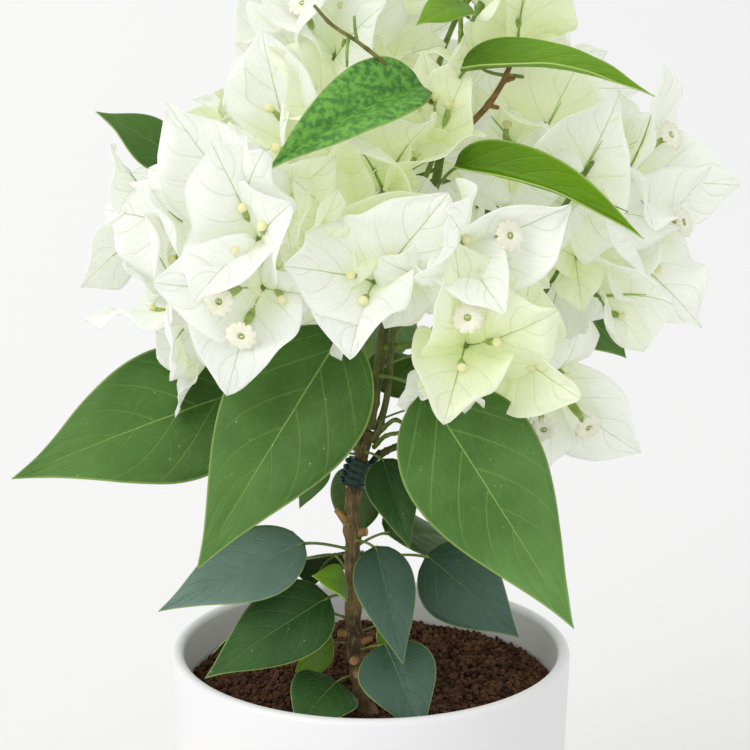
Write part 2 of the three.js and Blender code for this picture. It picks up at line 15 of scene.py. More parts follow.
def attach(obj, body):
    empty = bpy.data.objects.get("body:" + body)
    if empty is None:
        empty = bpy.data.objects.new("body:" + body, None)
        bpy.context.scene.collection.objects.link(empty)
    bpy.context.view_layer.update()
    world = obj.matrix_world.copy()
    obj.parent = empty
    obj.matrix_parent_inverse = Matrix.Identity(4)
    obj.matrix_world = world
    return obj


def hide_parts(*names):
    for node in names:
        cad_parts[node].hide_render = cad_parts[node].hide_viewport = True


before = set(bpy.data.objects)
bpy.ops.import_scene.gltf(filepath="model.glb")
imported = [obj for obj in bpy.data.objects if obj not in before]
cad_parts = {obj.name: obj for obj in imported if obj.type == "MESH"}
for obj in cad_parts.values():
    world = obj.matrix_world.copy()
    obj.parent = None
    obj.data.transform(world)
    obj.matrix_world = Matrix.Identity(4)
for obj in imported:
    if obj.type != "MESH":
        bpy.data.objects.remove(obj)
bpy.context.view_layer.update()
print("nodes in the frame:", len(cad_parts))

# %% [markdown]
# The plant is seen through a long lens from a little above, so that the soil shows inside the rim
# and the pot's sides stay nearly upright. A short lens nearer by would make the pot taper.

# %% Camera
MM = 0.001
CAMERA = {"place": (0.0012, -0.8855, 0.4540), "pitch_down": 16, "lens": 150}
scene = bpy.context.scene


def make_camera(place, pitch_down, lens):
    data = bpy.data.cameras.new("camera")
    data.lens = lens
    data.sensor_width = 36
    data.clip_end = 50
    camera = bpy.data.objects.new("camera", data)
    camera.location = place
    camera.rotation_euler = (math.radians(90 - pitch_down), 0, 0)
    scene.collection.objects.link(camera)
    return camera


scene.camera = make_camera(**CAMERA)
print("camera at", tuple(scene.camera.location))

# %% [markdown]
# White bracts show their shape only in soft light. A pale sky lights the plant evenly from all
# round, and one broad soft sun on the left models the bracts. A sun doesn't fade with distance,
# so the floor stays even.

# %% Soft studio light
SKY = {"colour": (0.985, 0.99, 1.0, 1.0), "strength": 0.84}
SUNS = {
    # name: (direction that it shines from, how soft it is in degrees, strength)
    "left_front": ((-0.62, -0.50, 0.60), 50, 1.15),
    "above": ((0.10, 0.15, 1.0), 70, 0.10),
}


def make_sun(name, from_way, softness, strength):
    data = bpy.data.lights.new(name, "SUN")
    data.energy = strength
    data.angle = math.radians(softness)
    sun = bpy.data.objects.new(name, data)
    sun.rotation_euler = Vector(from_way).to_track_quat("Z", "Y").to_euler()
    scene.collection.objects.link(sun)


for sun_name, facts in SUNS.items():
    make_sun(sun_name, *facts)

world = bpy.data.worlds.new("pale_sky")
world.use_nodes = True
backdrop = world.node_tree.nodes["Background"].inputs
backdrop["Color"].default_value = SKY["colour"]
backdrop["Strength"].default_value = SKY["strength"]
scene.world = world
scene.view_settings.view_transform = "Standard"
print("suns:", ", ".join(SUNS))

# %% [markdown]
# A small helper adds a shader node and fills its inputs at once: a socket is linked, and a plain
# value is set. It keeps each material short enough to read as a recipe.

# %% Shader helpers
def node(tree, kind, inputs=None, **settings):
    made = tree.nodes.new(kind)
    for key, value in settings.items():
        setattr(made, key, value)
    for key, value in (inputs or {}).items():
        if isinstance(value, bpy.types.NodeSocket):
            tree.links.new(value, made.inputs[key])
        else:
            made.inputs[key].default_value = value
    return made


def maths(tree, operation, first, second=0.0, third=0.0, clamp=False):
    made = node(tree, "ShaderNodeMath", {0: first, 1: second, 2: third}, operation=operation)
    made.use_clamp = clamp
    return made.outputs[0]


def blend(tree, share, first, second):
    """A colour between two others."""
    made = node(tree, "ShaderNodeMix", {0: share, 6: first, 7: second}, data_type="RGBA")
    return made.outputs[2]


def near(tree, distance, width):
    """1 on a line and 0 past its width, with a soft edge."""
    made = node(tree, "ShaderNodeMapRange", {"Value": distance, "From Min": 0.0, "From Max": width,
                "To Min": 1.0, "To Max": 0.0}, interpolation_type="SMOOTHSTEP")
    return made.outputs[0]


def mottle(tree, scale, detail=2.0, roughness=0.5):
    """Soft patches over the piece, from its object coordinates."""
    where = node(tree, "ShaderNodeTexCoord").outputs["Object"]
    made = node(tree, "ShaderNodeTexNoise",
                {"Vector": where, "Scale": scale, "Detail": detail, "Roughness": roughness})
    return made.outputs["Fac"]


def ramp(tree, value, low, high):
    made = node(tree, "ShaderNodeMapRange", {"Value": value, "From Min": low, "From Max": high})
    return made.outputs[0]


def colour(red, green, blue):
    return (red, green, blue, 1.0)


def new_material(name):
    material = bpy.data.materials.new(name)
    material.use_nodes = True
    tree = material.node_tree
    return material, tree, tree.nodes["Principled BSDF"]


def link_in(tree, shader, **sockets):
    """Feed the shader's sockets; an underscore in a name stands for a space."""
    for key, value in sockets.items():
        socket = shader.inputs[key.replace("_", " ")]
        if isinstance(value, bpy.types.NodeSocket):
            tree.links.new(value, socket)
        else:
            socket.default_value = value


def bumped(tree, height, distance, strength=1.0):
    made = node(tree, "ShaderNodeBump",
                {"Height": height, "Distance": distance, "Strength": strength})
    return made.outputs["Normal"]


print("shader helpers ready")

# %% [markdown]
# A leaf and a bract share one plan: a midrib, side veins that leave it in pairs and arch towards
# the tip, a fine net between them, and a thin edge. So the veins are a shader node group that
# reads the blade's own map, where u runs across the blade and v from base to tip.

# %% The vein group
BLADE_MAP = "blade"
VEIN = {
    # widths, in lines: the midrib, a side vein and the blade's edge
    "midrib": 1.5, "side": 0.8, "edge": 3.0,
    # a line is 1.15 wide at the base and thins towards the tip
    "full": 1.15, "thinner": -0.75,
    # the net's own line, and how much it is drawn out along the blade
    "mesh_line": 0.07, "mesh_stretch": 0.55,
    # powers: where a blade is widest, how a side vein arches, how it fades at the edge
    "widest": 0.6, "arch": 1.15, "fade": 5.0,
}


def make_vein_group():
    tree = bpy.data.node_groups.new("blade_veins", "ShaderNodeTree")
    tree.interface.new_socket(name="Map", in_out="INPUT", socket_type="NodeSocketVector")
    for name in ("Pairs", "Rake", "Line", "Mesh"):
        tree.interface.new_socket(name=name, in_out="INPUT", socket_type="NodeSocketFloat")
    for name in ("Midrib", "Sides", "Net", "Edge", "Across", "Along"):
        tree.interface.new_socket(name=name, in_out="OUTPUT", socket_type="NodeSocketFloat")
    given = tree.nodes.new("NodeGroupInput").outputs
    out = tree.nodes.new("NodeGroupOutput").inputs
    split = node(tree, "ShaderNodeSeparateXYZ", {0: given["Map"]}).outputs
    off_middle = maths(tree, "SUBTRACT", split["X"], 0.5)
    across = maths(tree, "MULTIPLY", maths(tree, "ABSOLUTE", off_middle), 2.0)
    along = split["Y"]
    swelling = maths(tree, "MULTIPLY", maths(tree, "POWER", along, VEIN["widest"]), math.pi)
    wide = maths(tree, "SINE", swelling)
    thinner = maths(tree, "MULTIPLY_ADD", along, VEIN["thinner"], VEIN["full"])
    line = maths(tree, "MULTIPLY", given["Line"], thinner)
    from_middle = maths(tree, "MULTIPLY", across, wide)
    midrib_line = near(tree, from_middle, maths(tree, "MULTIPLY", line, VEIN["midrib"]))
    tree.links.new(midrib_line, out["Midrib"])
    arch = maths(tree, "MULTIPLY", maths(tree, "POWER", across, VEIN["arch"]), given["Rake"])
    start = maths(tree, "SUBTRACT", along, arch)
    right_side = maths(tree, "MULTIPLY", maths(tree, "GREATER_THAN", off_middle, 0.0), 0.5)
    count = maths(tree, "MULTIPLY_ADD", start, given["Pairs"], right_side)
    spread = maths(tree, "DIVIDE", maths(tree, "PINGPONG", count, 0.5), given["Pairs"])
    fading = maths(tree, "SUBTRACT", 1.0, maths(tree, "POWER", across, VEIN["fade"]), clamp=True)
    side_line = near(tree, spread, maths(tree, "MULTIPLY", line, VEIN["side"]))
    tree.links.new(maths(tree, "MULTIPLY", side_line, fading), out["Sides"])
    stretched = maths(tree, "MULTIPLY", from_middle, VEIN["mesh_stretch"])
    net_map = node(tree, "ShaderNodeCombineXYZ", {"X": stretched, "Y": start, "Z": right_side})
    cells = node(tree, "ShaderNodeTexVoronoi",
                 {"Vector": net_map.outputs[0], "Scale": given["Mesh"]}, feature="DISTANCE_TO_EDGE")
    tree.links.new(near(tree, cells.outputs["Distance"], VEIN["mesh_line"]), out["Net"])
    to_edge = maths(tree, "MULTIPLY", maths(tree, "SUBTRACT", 1.0, across), wide)
    edge_line = near(tree, to_edge, maths(tree, "MULTIPLY", given["Line"], VEIN["edge"]))
    tree.links.new(edge_line, out["Edge"])
    tree.links.new(across, out["Across"])
    tree.links.new(along, out["Along"])
    return tree


blade_veins = make_vein_group()


def veins_in(tree, pairs, rake, line, mesh):
    where = node(tree, "ShaderNodeUVMap", uv_map=BLADE_MAP).outputs[0]
    return node(tree, "ShaderNodeGroup", node_tree=blade_veins, inputs={
        "Map": where, "Pairs": pairs, "Rake": rake, "Line": line, "Mesh": mesh}).outputs


print("vein group has", len(blade_veins.nodes), "nodes")

# %% [markdown]
# Directions are written as the grower sees them: a heading round the pot, and a rise above level.
# The rule for each leaf and each head of blossom is the one that the solids follow, so what is
# made here lies on them.

# %% Directions and places
def direction(heading, rise):
    turn, lift = math.radians(heading), math.radians(rise)
    level = math.cos(lift)
    return Vector((level * math.cos(turn), level * math.sin(turn), math.sin(lift)))


def place_of(at):
    heading, reach, height = at
    return direction(heading, 0) * reach + Vector((0, 0, height))


def right_of(heading):
    return direction(heading - 90, 0)


def turned(vector, axis, degrees):
    return Matrix.Rotation(math.radians(degrees), 3, axis) @ vector


class Chance:
    """A repeatable row of numbers."""

    def __init__(self, seed):
        self.state = seed

    def next(self):
        self.state = (self.state * 1664525 + 1013904223) % 4294967296
        return self.state / 4294967296

    def between(self, low, high):
        return low + (high - low) * self.next()


print("front is", tuple(round(part, 2) for part in direction(-90, 0)))

# %% [markdown]
# Every limb is a route with a radius. A circle is extruded along it ring by ring, and each new
# ring is moved, turned and scaled as a whole, so the tube never twists.

# %% Routes and limbs
def smooth_route(places, power=0.0):
    """A smooth curve through places. power 0.5 keeps it from looping where they are uneven."""
    points = [Vector(place) for place in places]

    def at(t):
        last = len(points) - 1
        spot = t * last
        index = min(int(spot), last - 1)
        part = spot - index
        one, two = points[index], points[index + 1]
        before = points[index - 1] if index > 0 else one * 2 - points[1]
        after = points[index + 2] if index + 2 <= last else two * 2 - points[last - 1]
        gaps = [max((b - a).length, 1e-6) ** power
                for a, b in ((before, one), (one, two), (two, after))]
        leave = (one - before) / gaps[0] - (two - before) / (gaps[0] + gaps[1]) + (two - one) / gaps[1]
        reach = (two - one) / gaps[1] - (after - one) / (gaps[1] + gaps[2]) + (after - two) / gaps[2]
        leave, reach = leave * gaps[1], reach * gaps[1]
        return (one + leave * part + (two * 3 - one * 3 - leave * 2 - reach) * part ** 2
                + (one * 2 - two * 2 + leave + reach) * part ** 3)

    return at


def bent_route(*points):
    """A Bezier curve of three or four points."""
    def at(t):
        row = list(points)
        while len(row) > 1:
            row = [a.lerp(b, t) for a, b in zip(row, row[1:])]
        return row[0]

    return at


def way_along(at, t):
    return (at(min(1.0, t + 1e-3)) - at(max(0.0, t - 1e-3))).normalized()


def at_height(at, height):
    low, high = 0.0, 1.0
    for _ in range(30):
        middle = (low + high) / 2
        if at(middle).z < height:
            low = middle
        else:
            high = middle
    return low


def taper(first, last):
    return lambda t: first + (last - first) * t


def next_ring(bm, edges):
    """A loop of edges extruded once: the new corners and the new loop."""
    grown = bmesh.ops.extrude_edge_only(bm, edges=edges)["geom"]
    verts = [item for item in grown if isinstance(item, bmesh.types.BMVert)]
    ring = set(verts)
    return verts, [item for item in grown if isinstance(item, bmesh.types.BMEdge)
                   and item.verts[0] in ring and item.verts[1] in ring]


def sweep(bm, at, radius_at, sides, steps, material=0, tip_material=None):
    """A closed limb along a route, made by extruding a circle. Returns its corners."""
    centre, way, radius = at(0.0), way_along(at, 0.0), radius_at(0.0)
    matrix = Matrix.Translation(centre) @ way.to_track_quat("Z", "Y").to_matrix().to_4x4()
    verts = bmesh.ops.create_circle(bm, segments=sides, radius=radius, matrix=matrix)["verts"]
    edges = list({edge for vert in verts for edge in vert.link_edges})
    caps = bmesh.ops.contextual_create(bm, geom=edges)["faces"]
    made = list(verts)
    for step in range(1, steps + 1):
        t = step / steps
        verts, edges = next_ring(bm, edges)
        next_centre, next_way = at(t), way_along(at, t)
        turn = way.rotation_difference(next_way).to_matrix().to_4x4()
        move = (Matrix.Translation(next_centre) @ turn
                @ Matrix.Scale(radius_at(t) / radius, 4) @ Matrix.Translation(-centre))
        bmesh.ops.transform(bm, matrix=move, verts=verts)
        centre, way, radius = next_centre, next_way, radius_at(t)
        made += verts
    ends = bmesh.ops.contextual_create(bm, geom=edges)["faces"]
    for face in {face for vert in made for face in vert.link_faces}:
        face.material_index = material
        face.smooth = True
    for face in caps + ends:
        face.smooth = False
    if tip_material is not None:
        for face in ends:
            face.material_index = tip_material
    return made


def finish_piece(bm, name, materials, nodes=(), tidy_normals=True):
    """The bmesh becomes a piece in metres that rides on the plant and stands for its nodes."""
    if tidy_normals:
        bmesh.ops.recalc_face_normals(bm, faces=bm.faces)
    bmesh.ops.scale(bm, vec=(MM, MM, MM), verts=bm.verts)
    mesh = bpy.data.meshes.new(name)
    bm.to_mesh(mesh)
    bm.free()
    for material in materials:
        mesh.materials.append(material)
    piece = bpy.data.objects.new(name, mesh)
    scene.collection.objects.link(piece)
    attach(piece, "root")
    if nodes:
        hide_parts(*nodes)
    print(f"{name}: {len(mesh.polygons)} faces")
    return piece


def spin_profile(bm, profile, steps):
    """A profile of (radius, height) turned round the pot's axis into a closed shape."""
    verts = [bm.verts.new((radius, 0, height)) for radius, height in profile]
    edges = [bm.edges.new(pair) for pair in zip(verts, verts[1:])]
    bmesh.ops.spin(bm, geom=verts + edges, cent=(0, 0, 0), axis=(0, 0, 1),
                   angle=2 * math.pi, steps=steps, use_merge=True)
    bmesh.ops.remove_doubles(bm, verts=bm.verts, dist=0.001)
    for face in bm.faces:
        face.smooth = True


print("limb helpers ready")

# %% [markdown]
# The floor is only there to catch the light, and it isn't attached to the plant.

# %% Floor
# painted shade: the floor is lighter on the left and darker on the right, as the light from the left falls
# off across it
FLOOR = {"half_side": 20, "fades": (-0.25, 0.35), "left": colour(0.875, 0.87, 0.86),
         "right": colour(0.82, 0.815, 0.81)}


def make_floor():
    material, tree, shader = new_material("pale_floor")
    where = node(tree, "ShaderNodeTexCoord").outputs["Object"]
    side = node(tree, "ShaderNodeSeparateXYZ", {0: where}).outputs["X"]
    # painted shade: the floor's colour blends from the lighter left to the darker right
    shade = blend(tree, ramp(tree, side, *FLOOR["fades"]), FLOOR["left"], FLOOR["right"])
    link_in(tree, shader, Base_Color=shade, Roughness=0.95, Specular_IOR_Level=0.05)
    bm = bmesh.new()
    bmesh.ops.create_grid(bm, x_segments=2, y_segments=2, size=FLOOR["half_side"])
    mesh = bpy.data.meshes.new("floor")
    bm.to_mesh(mesh)
    bm.free()
    mesh.materials.append(material)
    floor = bpy.data.objects.new("floor", mesh)
    scene.collection.objects.link(floor)


make_floor()
print("floor laid")

# %% [markdown]
# The pot is cast and glazed white: one wall of even thickness, a lip rounded over in a half
# circle, and a foot with a small rounded edge. A profile spun round the axis gives all of it. The
# glaze is satin, so its gloss is soft and wanders a little where it ran thicker.

# %% Pot
POT = {"height": 115, "rim": 60, "foot": 56, "wall": 3.7, "floor": 6, "edge": 1.5,
       "foot_ring": 8, "hollow": 0.6, "rounds": 14, "steps": 144}


def arc(centre_r, centre_z, radius, first, last, steps):
    """Points on an arc, from one angle to another, for a spun profile."""
    angles = [math.radians(first + (last - first) * step / steps) for step in range(steps + 1)]
    return [(centre_r + radius * math.cos(a), centre_z + radius * math.sin(a)) for a in angles]


def pot_inside(height):
    low, high = POT["foot"] - POT["wall"], POT["rim"] - POT["wall"]
    return low + (high - low) * height / POT["height"]


GLAZE = {"thin": colour(0.82, 0.81, 0.81), "thick": colour(0.85, 0.84, 0.84)}


def glaze_material():
    material, tree, shader = new_material("satin_glaze")
    cloud = mottle(tree, 14.0, 3.0)
    fine = mottle(tree, 900.0, 1.0)
    link_in(tree, shader, Base_Color=blend(tree, cloud, GLAZE["thin"], GLAZE["thick"]),
            Roughness=maths(tree, "MULTIPLY_ADD", cloud, 0.14, 0.34),
            Normal=bumped(tree, maths(tree, "MULTIPLY_ADD", fine, 0.25, cloud), 0.00008))
    return material


def make_pot():
    lip, edge, walls = POT["wall"] / 2, POT["edge"], POT["rounds"]
    ring = POT["foot"] - POT["foot_ring"]
    profile = [(0, POT["hollow"]), (ring - 1, POT["hollow"]), (ring, 0), (POT["foot"] - edge, 0)]
    profile += arc(POT["foot"] - edge, edge, edge, -75, 0, 4)
    profile += [(POT["foot"] + (POT["rim"] - POT["foot"]) * step / walls,
                 edge + (POT["height"] - lip - edge) * step / walls) for step in range(1, walls)]
    profile += arc(POT["rim"] - lip, POT["height"] - lip, lip, 0, 180, 12)
    depth = POT["height"] - lip - POT["floor"]
    profile += [(pot_inside(POT["floor"] + depth * (1 - step / walls)),
                 POT["floor"] + depth * (1 - step / walls)) for step in range(1, walls + 1)]
    profile.append((0, POT["floor"]))
    bm = bmesh.new()
    spin_profile(bm, profile, POT["steps"])
    return finish_piece(bm, "pot_glazed", [glaze_material()], ["pot"])


make_pot()

# %% [markdown]
# Potting soil is crumbs of peat, two or three millimetres across, that lie in each other's gaps.
# A bumped bed fills the pot, and low crumbs of twenty faces are strewn over it along a sunflower
# spiral, which spaces them evenly without rows. Each is turned and squashed in its own way.

# %% Soil
SOIL = {"level": 103, "crumbs": 2300, "crumb": (0.75, 1.55), "dip": 0.9, "rings": 26, "seed": 7}
PEAT = {"dark": colour(0.048, 0.020, 0.0085), "brown": colour(0.160, 0.072, 0.034),
        "grit": colour(0.28, 0.145, 0.075)}
GOLDEN_TURN = 137.508


def peat_material():
    material, tree, shader = new_material("moist_peat")
    patches = mottle(tree, 260.0, 2.0)
    grit = mottle(tree, 1500.0, 2.0)
    crumb = blend(tree, ramp(tree, patches, 0.36, 0.64), PEAT["dark"], PEAT["brown"])
    tint = blend(tree, ramp(tree, grit, 0.62, 0.78), crumb, PEAT["grit"])
    link_in(tree, shader, Base_Color=tint, Roughness=0.92, Specular_IOR_Level=0.25,
            Normal=bumped(tree, grit, 0.0006))
    return material


def make_bed(material, edge):
    level, rings, low = SOIL["level"], SOIL["rings"], POT["floor"] + 1
    profile = [(0, low), (pot_inside(POT["floor"]) - 0.6, low)]
    profile += [(edge * (1 - ring / rings), level - SOIL["dip"]) for ring in range(rings + 1)]
    bm = bmesh.new()
    spin_profile(bm, profile, 96)
    for vert in bm.verts:
        if vert.co.z > level - 2 and vert.co.xy.length < edge - 1:
            vert.co.z += noise.noise(vert.co * 0.35) * 0.7
    return finish_piece(bm, "soil_bed", [material], ["soil"])


def make_crumbs(material, reach):
    chance = Chance(SOIL["seed"])
    bm = bmesh.new()
    for index in range(SOIL["crumbs"]):
        far = reach * math.sqrt((index + 0.5) / SOIL["crumbs"]) + chance.between(-0.6, 0.6)
        spot = direction(index * GOLDEN_TURN, 0) * min(far, reach)
        size = chance.between(*SOIL["crumb"])
        spot.z = SOIL["level"] - 0.7 + chance.between(0, 0.9) + noise.noise(spot * 0.08) * 0.9
        spin = Matrix.Rotation(chance.between(0, 6.28), 4, direction(chance.between(0, 360), 40))
        squash = Matrix.Diagonal((1, chance.between(0.7, 1), chance.between(0.6, 0.95), 1))
        bmesh.ops.create_icosphere(bm, subdivisions=1, radius=size,
                                   matrix=Matrix.Translation(spot) @ spin @ squash)
    return finish_piece(bm, "soil_crumbs", [material])


peat = peat_material()
soil_edge = pot_inside(SOIL["level"]) - 0.3
make_bed(peat, soil_edge)
make_crumbs(peat, soil_edge - 1.3)

# %% [markdown]
# The stem is young wood: grey-brown bark with fine lengthwise ridges, swollen knuckles where
# leaves once stood, and pruned stubs whose cut ends are still tan. The ridges and knuckles are
# real relief, moved into the mesh, so they also show at its outline.

# %% Trunk
TRUNK = {"flare": 3.9, "middle": 2.35, "top": 1.9, "flare_height": 7, "foot": 103.3, "fork": 187}
TRUNK_PLACES = [(-0.6, -24.1, 101.3), (-3.4, -23, 113), (-5.2, -20.5, 131), (-5.4, -17.5, 153),
                (-5.2, -15.6, 168), (-0.8, -13, 187)]
KNUCKLE = {"swell": 0.42, "length": 2.2}
RELIEF = {"ridges": 0.26, "lumps": 0.34, "across": 1.3, "along": 0.22, "lump_size": 0.28}
# height, heading, rise, length past the bark, radius at the end
STUBS = [(169, 178, 62, 3.2, 1.0), (158, 185, 52, 5.6, 0.8), (156.5, -20, 14, 2.6, 1.25),
         (147, 120, 30, 2.2, 1.2), (141, -155, 20, 1.6, 1.1), (134, 20, 35, 2.0, 1.1),
         (126.5, -170, 8, 2.8, 0.95), (123.5, -10, 24, 3.4, 0.9), (119, -105, 15, 1.4, 1.3),
         (115.5, -95, 5, 1.3, 1.2), (108.2, -25, 8, 2.8, 1.35)]

trunk_route = smooth_route(TRUNK_PLACES)


def trunk_radius(t):
    up = t * (TRUNK["fork"] - SOIL["level"])
    even = TRUNK["middle"] + (TRUNK["top"] - TRUNK["middle"]) * t
    return even + (TRUNK["flare"] - TRUNK["middle"]) * math.exp(-2.5 * up / TRUNK["flare_height"])


YOUNG_BARK = (0.235, 0.275)  # metres: where old bark turns to young, and where it is all young


def bark_material(name, low, high, streak, rough=0.86, young=None):
    """young is the green that the bark turns to near the top of the shoot."""
    material, tree, shader = new_material(name)
    where = node(tree, "ShaderNodeTexCoord").outputs["Object"]
    drawn_out = node(tree, "ShaderNodeMapping", {"Vector": where, "Scale": (1.0, 1.0, 0.22)})
    grain = node(tree, "ShaderNodeTexNoise", {"Vector": drawn_out.outputs[0], "Scale": 1100.0,
                 "Detail": 4.0, "Roughness": 0.65}).outputs["Fac"]
    patches = mottle(tree, 130.0, 3.0)
    base = blend(tree, ramp(tree, patches, 0.35, 0.65), low, high)
    tint = blend(tree, ramp(tree, grain, 0.5, 0.72), base, streak)
    if young:
        height = node(tree, "ShaderNodeSeparateXYZ", {0: where}).outputs["Z"]
        tint = blend(tree, ramp(tree, height, *YOUNG_BARK), tint, young)
    link_in(tree, shader, Base_Color=tint,
            Roughness=rough, Normal=bumped(tree, grain, 0.0004, 0.8))
    return material


def plain_tissue(name, low, high, rough, scale=300.0):
    """A smooth living surface of two close colours."""
    material, tree, shader = new_material(name)
    patches = mottle(tree, scale, 3.0)
    link_in(tree, shader, Base_Color=blend(tree, ramp(tree, patches, 0.35, 0.65), low, high),
            Roughness=rough, Normal=bumped(tree, patches, 0.0001))
    return material


bark = bark_material("bark_grey_brown", colour(0.052, 0.036, 0.010), colour(0.21, 0.140, 0.055),
                     colour(0.36, 0.25, 0.12))
cut_wood = plain_tissue("cut_wood_tan", colour(0.46, 0.22, 0.09), colour(0.62, 0.36, 0.17), 0.8)
node_tan = plain_tissue("bud_scar_tan", colour(0.26, 0.15, 0.05), colour(0.45, 0.27, 0.09), 0.8)


def bark_relief(place):
    """How far the bark stands out at a place: knuckles, lengthwise ridges and lumps."""
    swell = sum(KNUCKLE["swell"] * math.exp(-((place.z - height) / KNUCKLE["length"]) ** 2)
                for height, *_ in STUBS)
    across, along = RELIEF["across"], RELIEF["along"]
    ridges = noise.noise(Vector((place.x * across, place.y * across, place.z * along)))
    lumps = noise.noise(place * RELIEF["lump_size"])
    return swell + RELIEF["ridges"] * ridges + RELIEF["lumps"] * lumps


def make_trunk():
    bm = bmesh.new()
    made = sweep(bm, trunk_route, trunk_radius, sides=24, steps=110)
    bm.normal_update()
    for vert in made:
        vert.co += vert.normal * bark_relief(vert.co)
    for height, heading, rise, length, end in STUBS:
        t = at_height(trunk_route, height)
        start, way = trunk_route(t), direction(heading, rise)
        tip = start + way * (trunk_radius(t) + length)
        sweep(bm, bent_route(start, start.lerp(tip, 0.5) + Vector((0, 0, 0.3)), tip),
              taper(1.75, end), sides=10, steps=5, material=2, tip_material=1)
    bmesh.ops.bisect_plane(bm, geom=bm.verts[:] + bm.edges[:] + bm.faces[:],
                           plane_co=(0, 0, TRUNK["foot"] - 1.5), plane_no=(0, 0, -1), clear_outer=True)
    edges = [edge for edge in bm.edges if edge.is_boundary]
    bmesh.ops.contextual_create(bm, geom=edges)
    return finish_piece(bm, "trunk_bark", [bark, cut_wood, node_tan], ["trunk"])


make_trunk()

# %% [markdown]
# Above the tie the stem forks into young shoots. They are still green, with an olive-brown cast
# on the oldest, and a small swelling at each node. Their routes are the solids' own.

# %% Shoots
LEADER_PLACES = [(-0.6, -13, 187.5), (2, -10.6, 203), (5.4, -7.2, 222), (17.4, -0.5, 252),
                 (24, 3.5, 290), (31, 6, 307)]
SHOOTS = {
    # name: (limb, height), heading, rise, where it bows, where it ends, radius
    "bough_left": (("trunk", 183), 170, 50, (-6, -9, 222), (-26, -4, 262), 1.3),
    "bough_back_left": (("trunk", 180), 115, 45, (-8, 16, 210), (-22, 34, 250), 1.3),
    "bough_back_right": (("leader", 207), 75, 40, (16, 16, 222), (24, 36, 256), 1.3),
    "bough_right": (("leader", 217), 35, 30, (28, 8, 231), (52, 6, 246), 1.25),
}

limb_routes = {"trunk": trunk_route, "leader": smooth_route(LEADER_PLACES)}
limb_radius = {"trunk": trunk_radius, "leader": taper(1.75, 1.15)}
TIP = "tip"


def leaving(limb, height, heading):
    """Where something leaves a limb: a place on the limb's middle line and one on its bark."""
    at = limb_routes[limb]
    t = 1.0 if height == TIP else at_height(at, height)
    way = way_along(at, 1.0) if height == TIP else direction(heading, 0)
    out = 0.0 if height == TIP else limb_radius[limb](t)
    return at(t), at(t) + way * (out + 0.3)


for name, (foot, heading, rise, bow, end, radius) in SHOOTS.items():
    _, start = leaving(*foot, heading)
    first = start + direction(heading, rise) * 5
    limb_routes[name] = smooth_route([start, first, bow, end], 0.5)
    limb_radius[name] = taper(radius, radius * 0.75)

olive_bark = bark_material("bark_olive", colour(0.055, 0.072, 0.008), colour(0.140, 0.155, 0.030),
                           colour(0.20, 0.19, 0.06), 0.6, young=colour(0.16, 0.27, 0.06))
green_shoot = plain_tissue("green_shoot", colour(0.085, 0.150, 0.012), colour(0.17, 0.27, 0.032),
                           0.5)


def knuckled(radius_at, count):
    """A radius that swells a little at evenly spaced nodes."""
    def radius(t):
        spot = (t * count) % 1.0
        return radius_at(t) * (1 + 0.22 * math.exp(-((spot - 0.5) / 0.09) ** 2))
    return radius


def make_shoots():
    for name in ["leader", *SHOOTS]:
        bm = bmesh.new()
        at = limb_routes[name]
        made = sweep(bm, at, knuckled(limb_radius[name], 5), sides=14, steps=60)
        if name in SHOOTS:
            foot, heading, *_ = SHOOTS[name]
            root, start = leaving(*foot, heading)
            collar = limb_radius[name](0)
            sweep(bm, bent_route(root, root.lerp(start, 0.5), start + way_along(at, 0) * 1.5),
                  taper(collar * 1.5, collar * 1.02), sides=14, steps=5)
        bm.normal_update()
        for vert in made:
            vert.co += vert.normal * 0.16 * noise.noise(vert.co * 0.6)
        skin = green_shoot if name in SHOOTS else olive_bark
        finish_piece(bm, f"{name}_bark", [skin], [name])


make_shoots()

# %% [markdown]
# Between the shoots stand thin twigs that end in the open, hooked stalks whose leaf has dropped,
# and shoots that were cut back. Each is a short route with a radius and a bark of its own, and
# all of them are one piece.

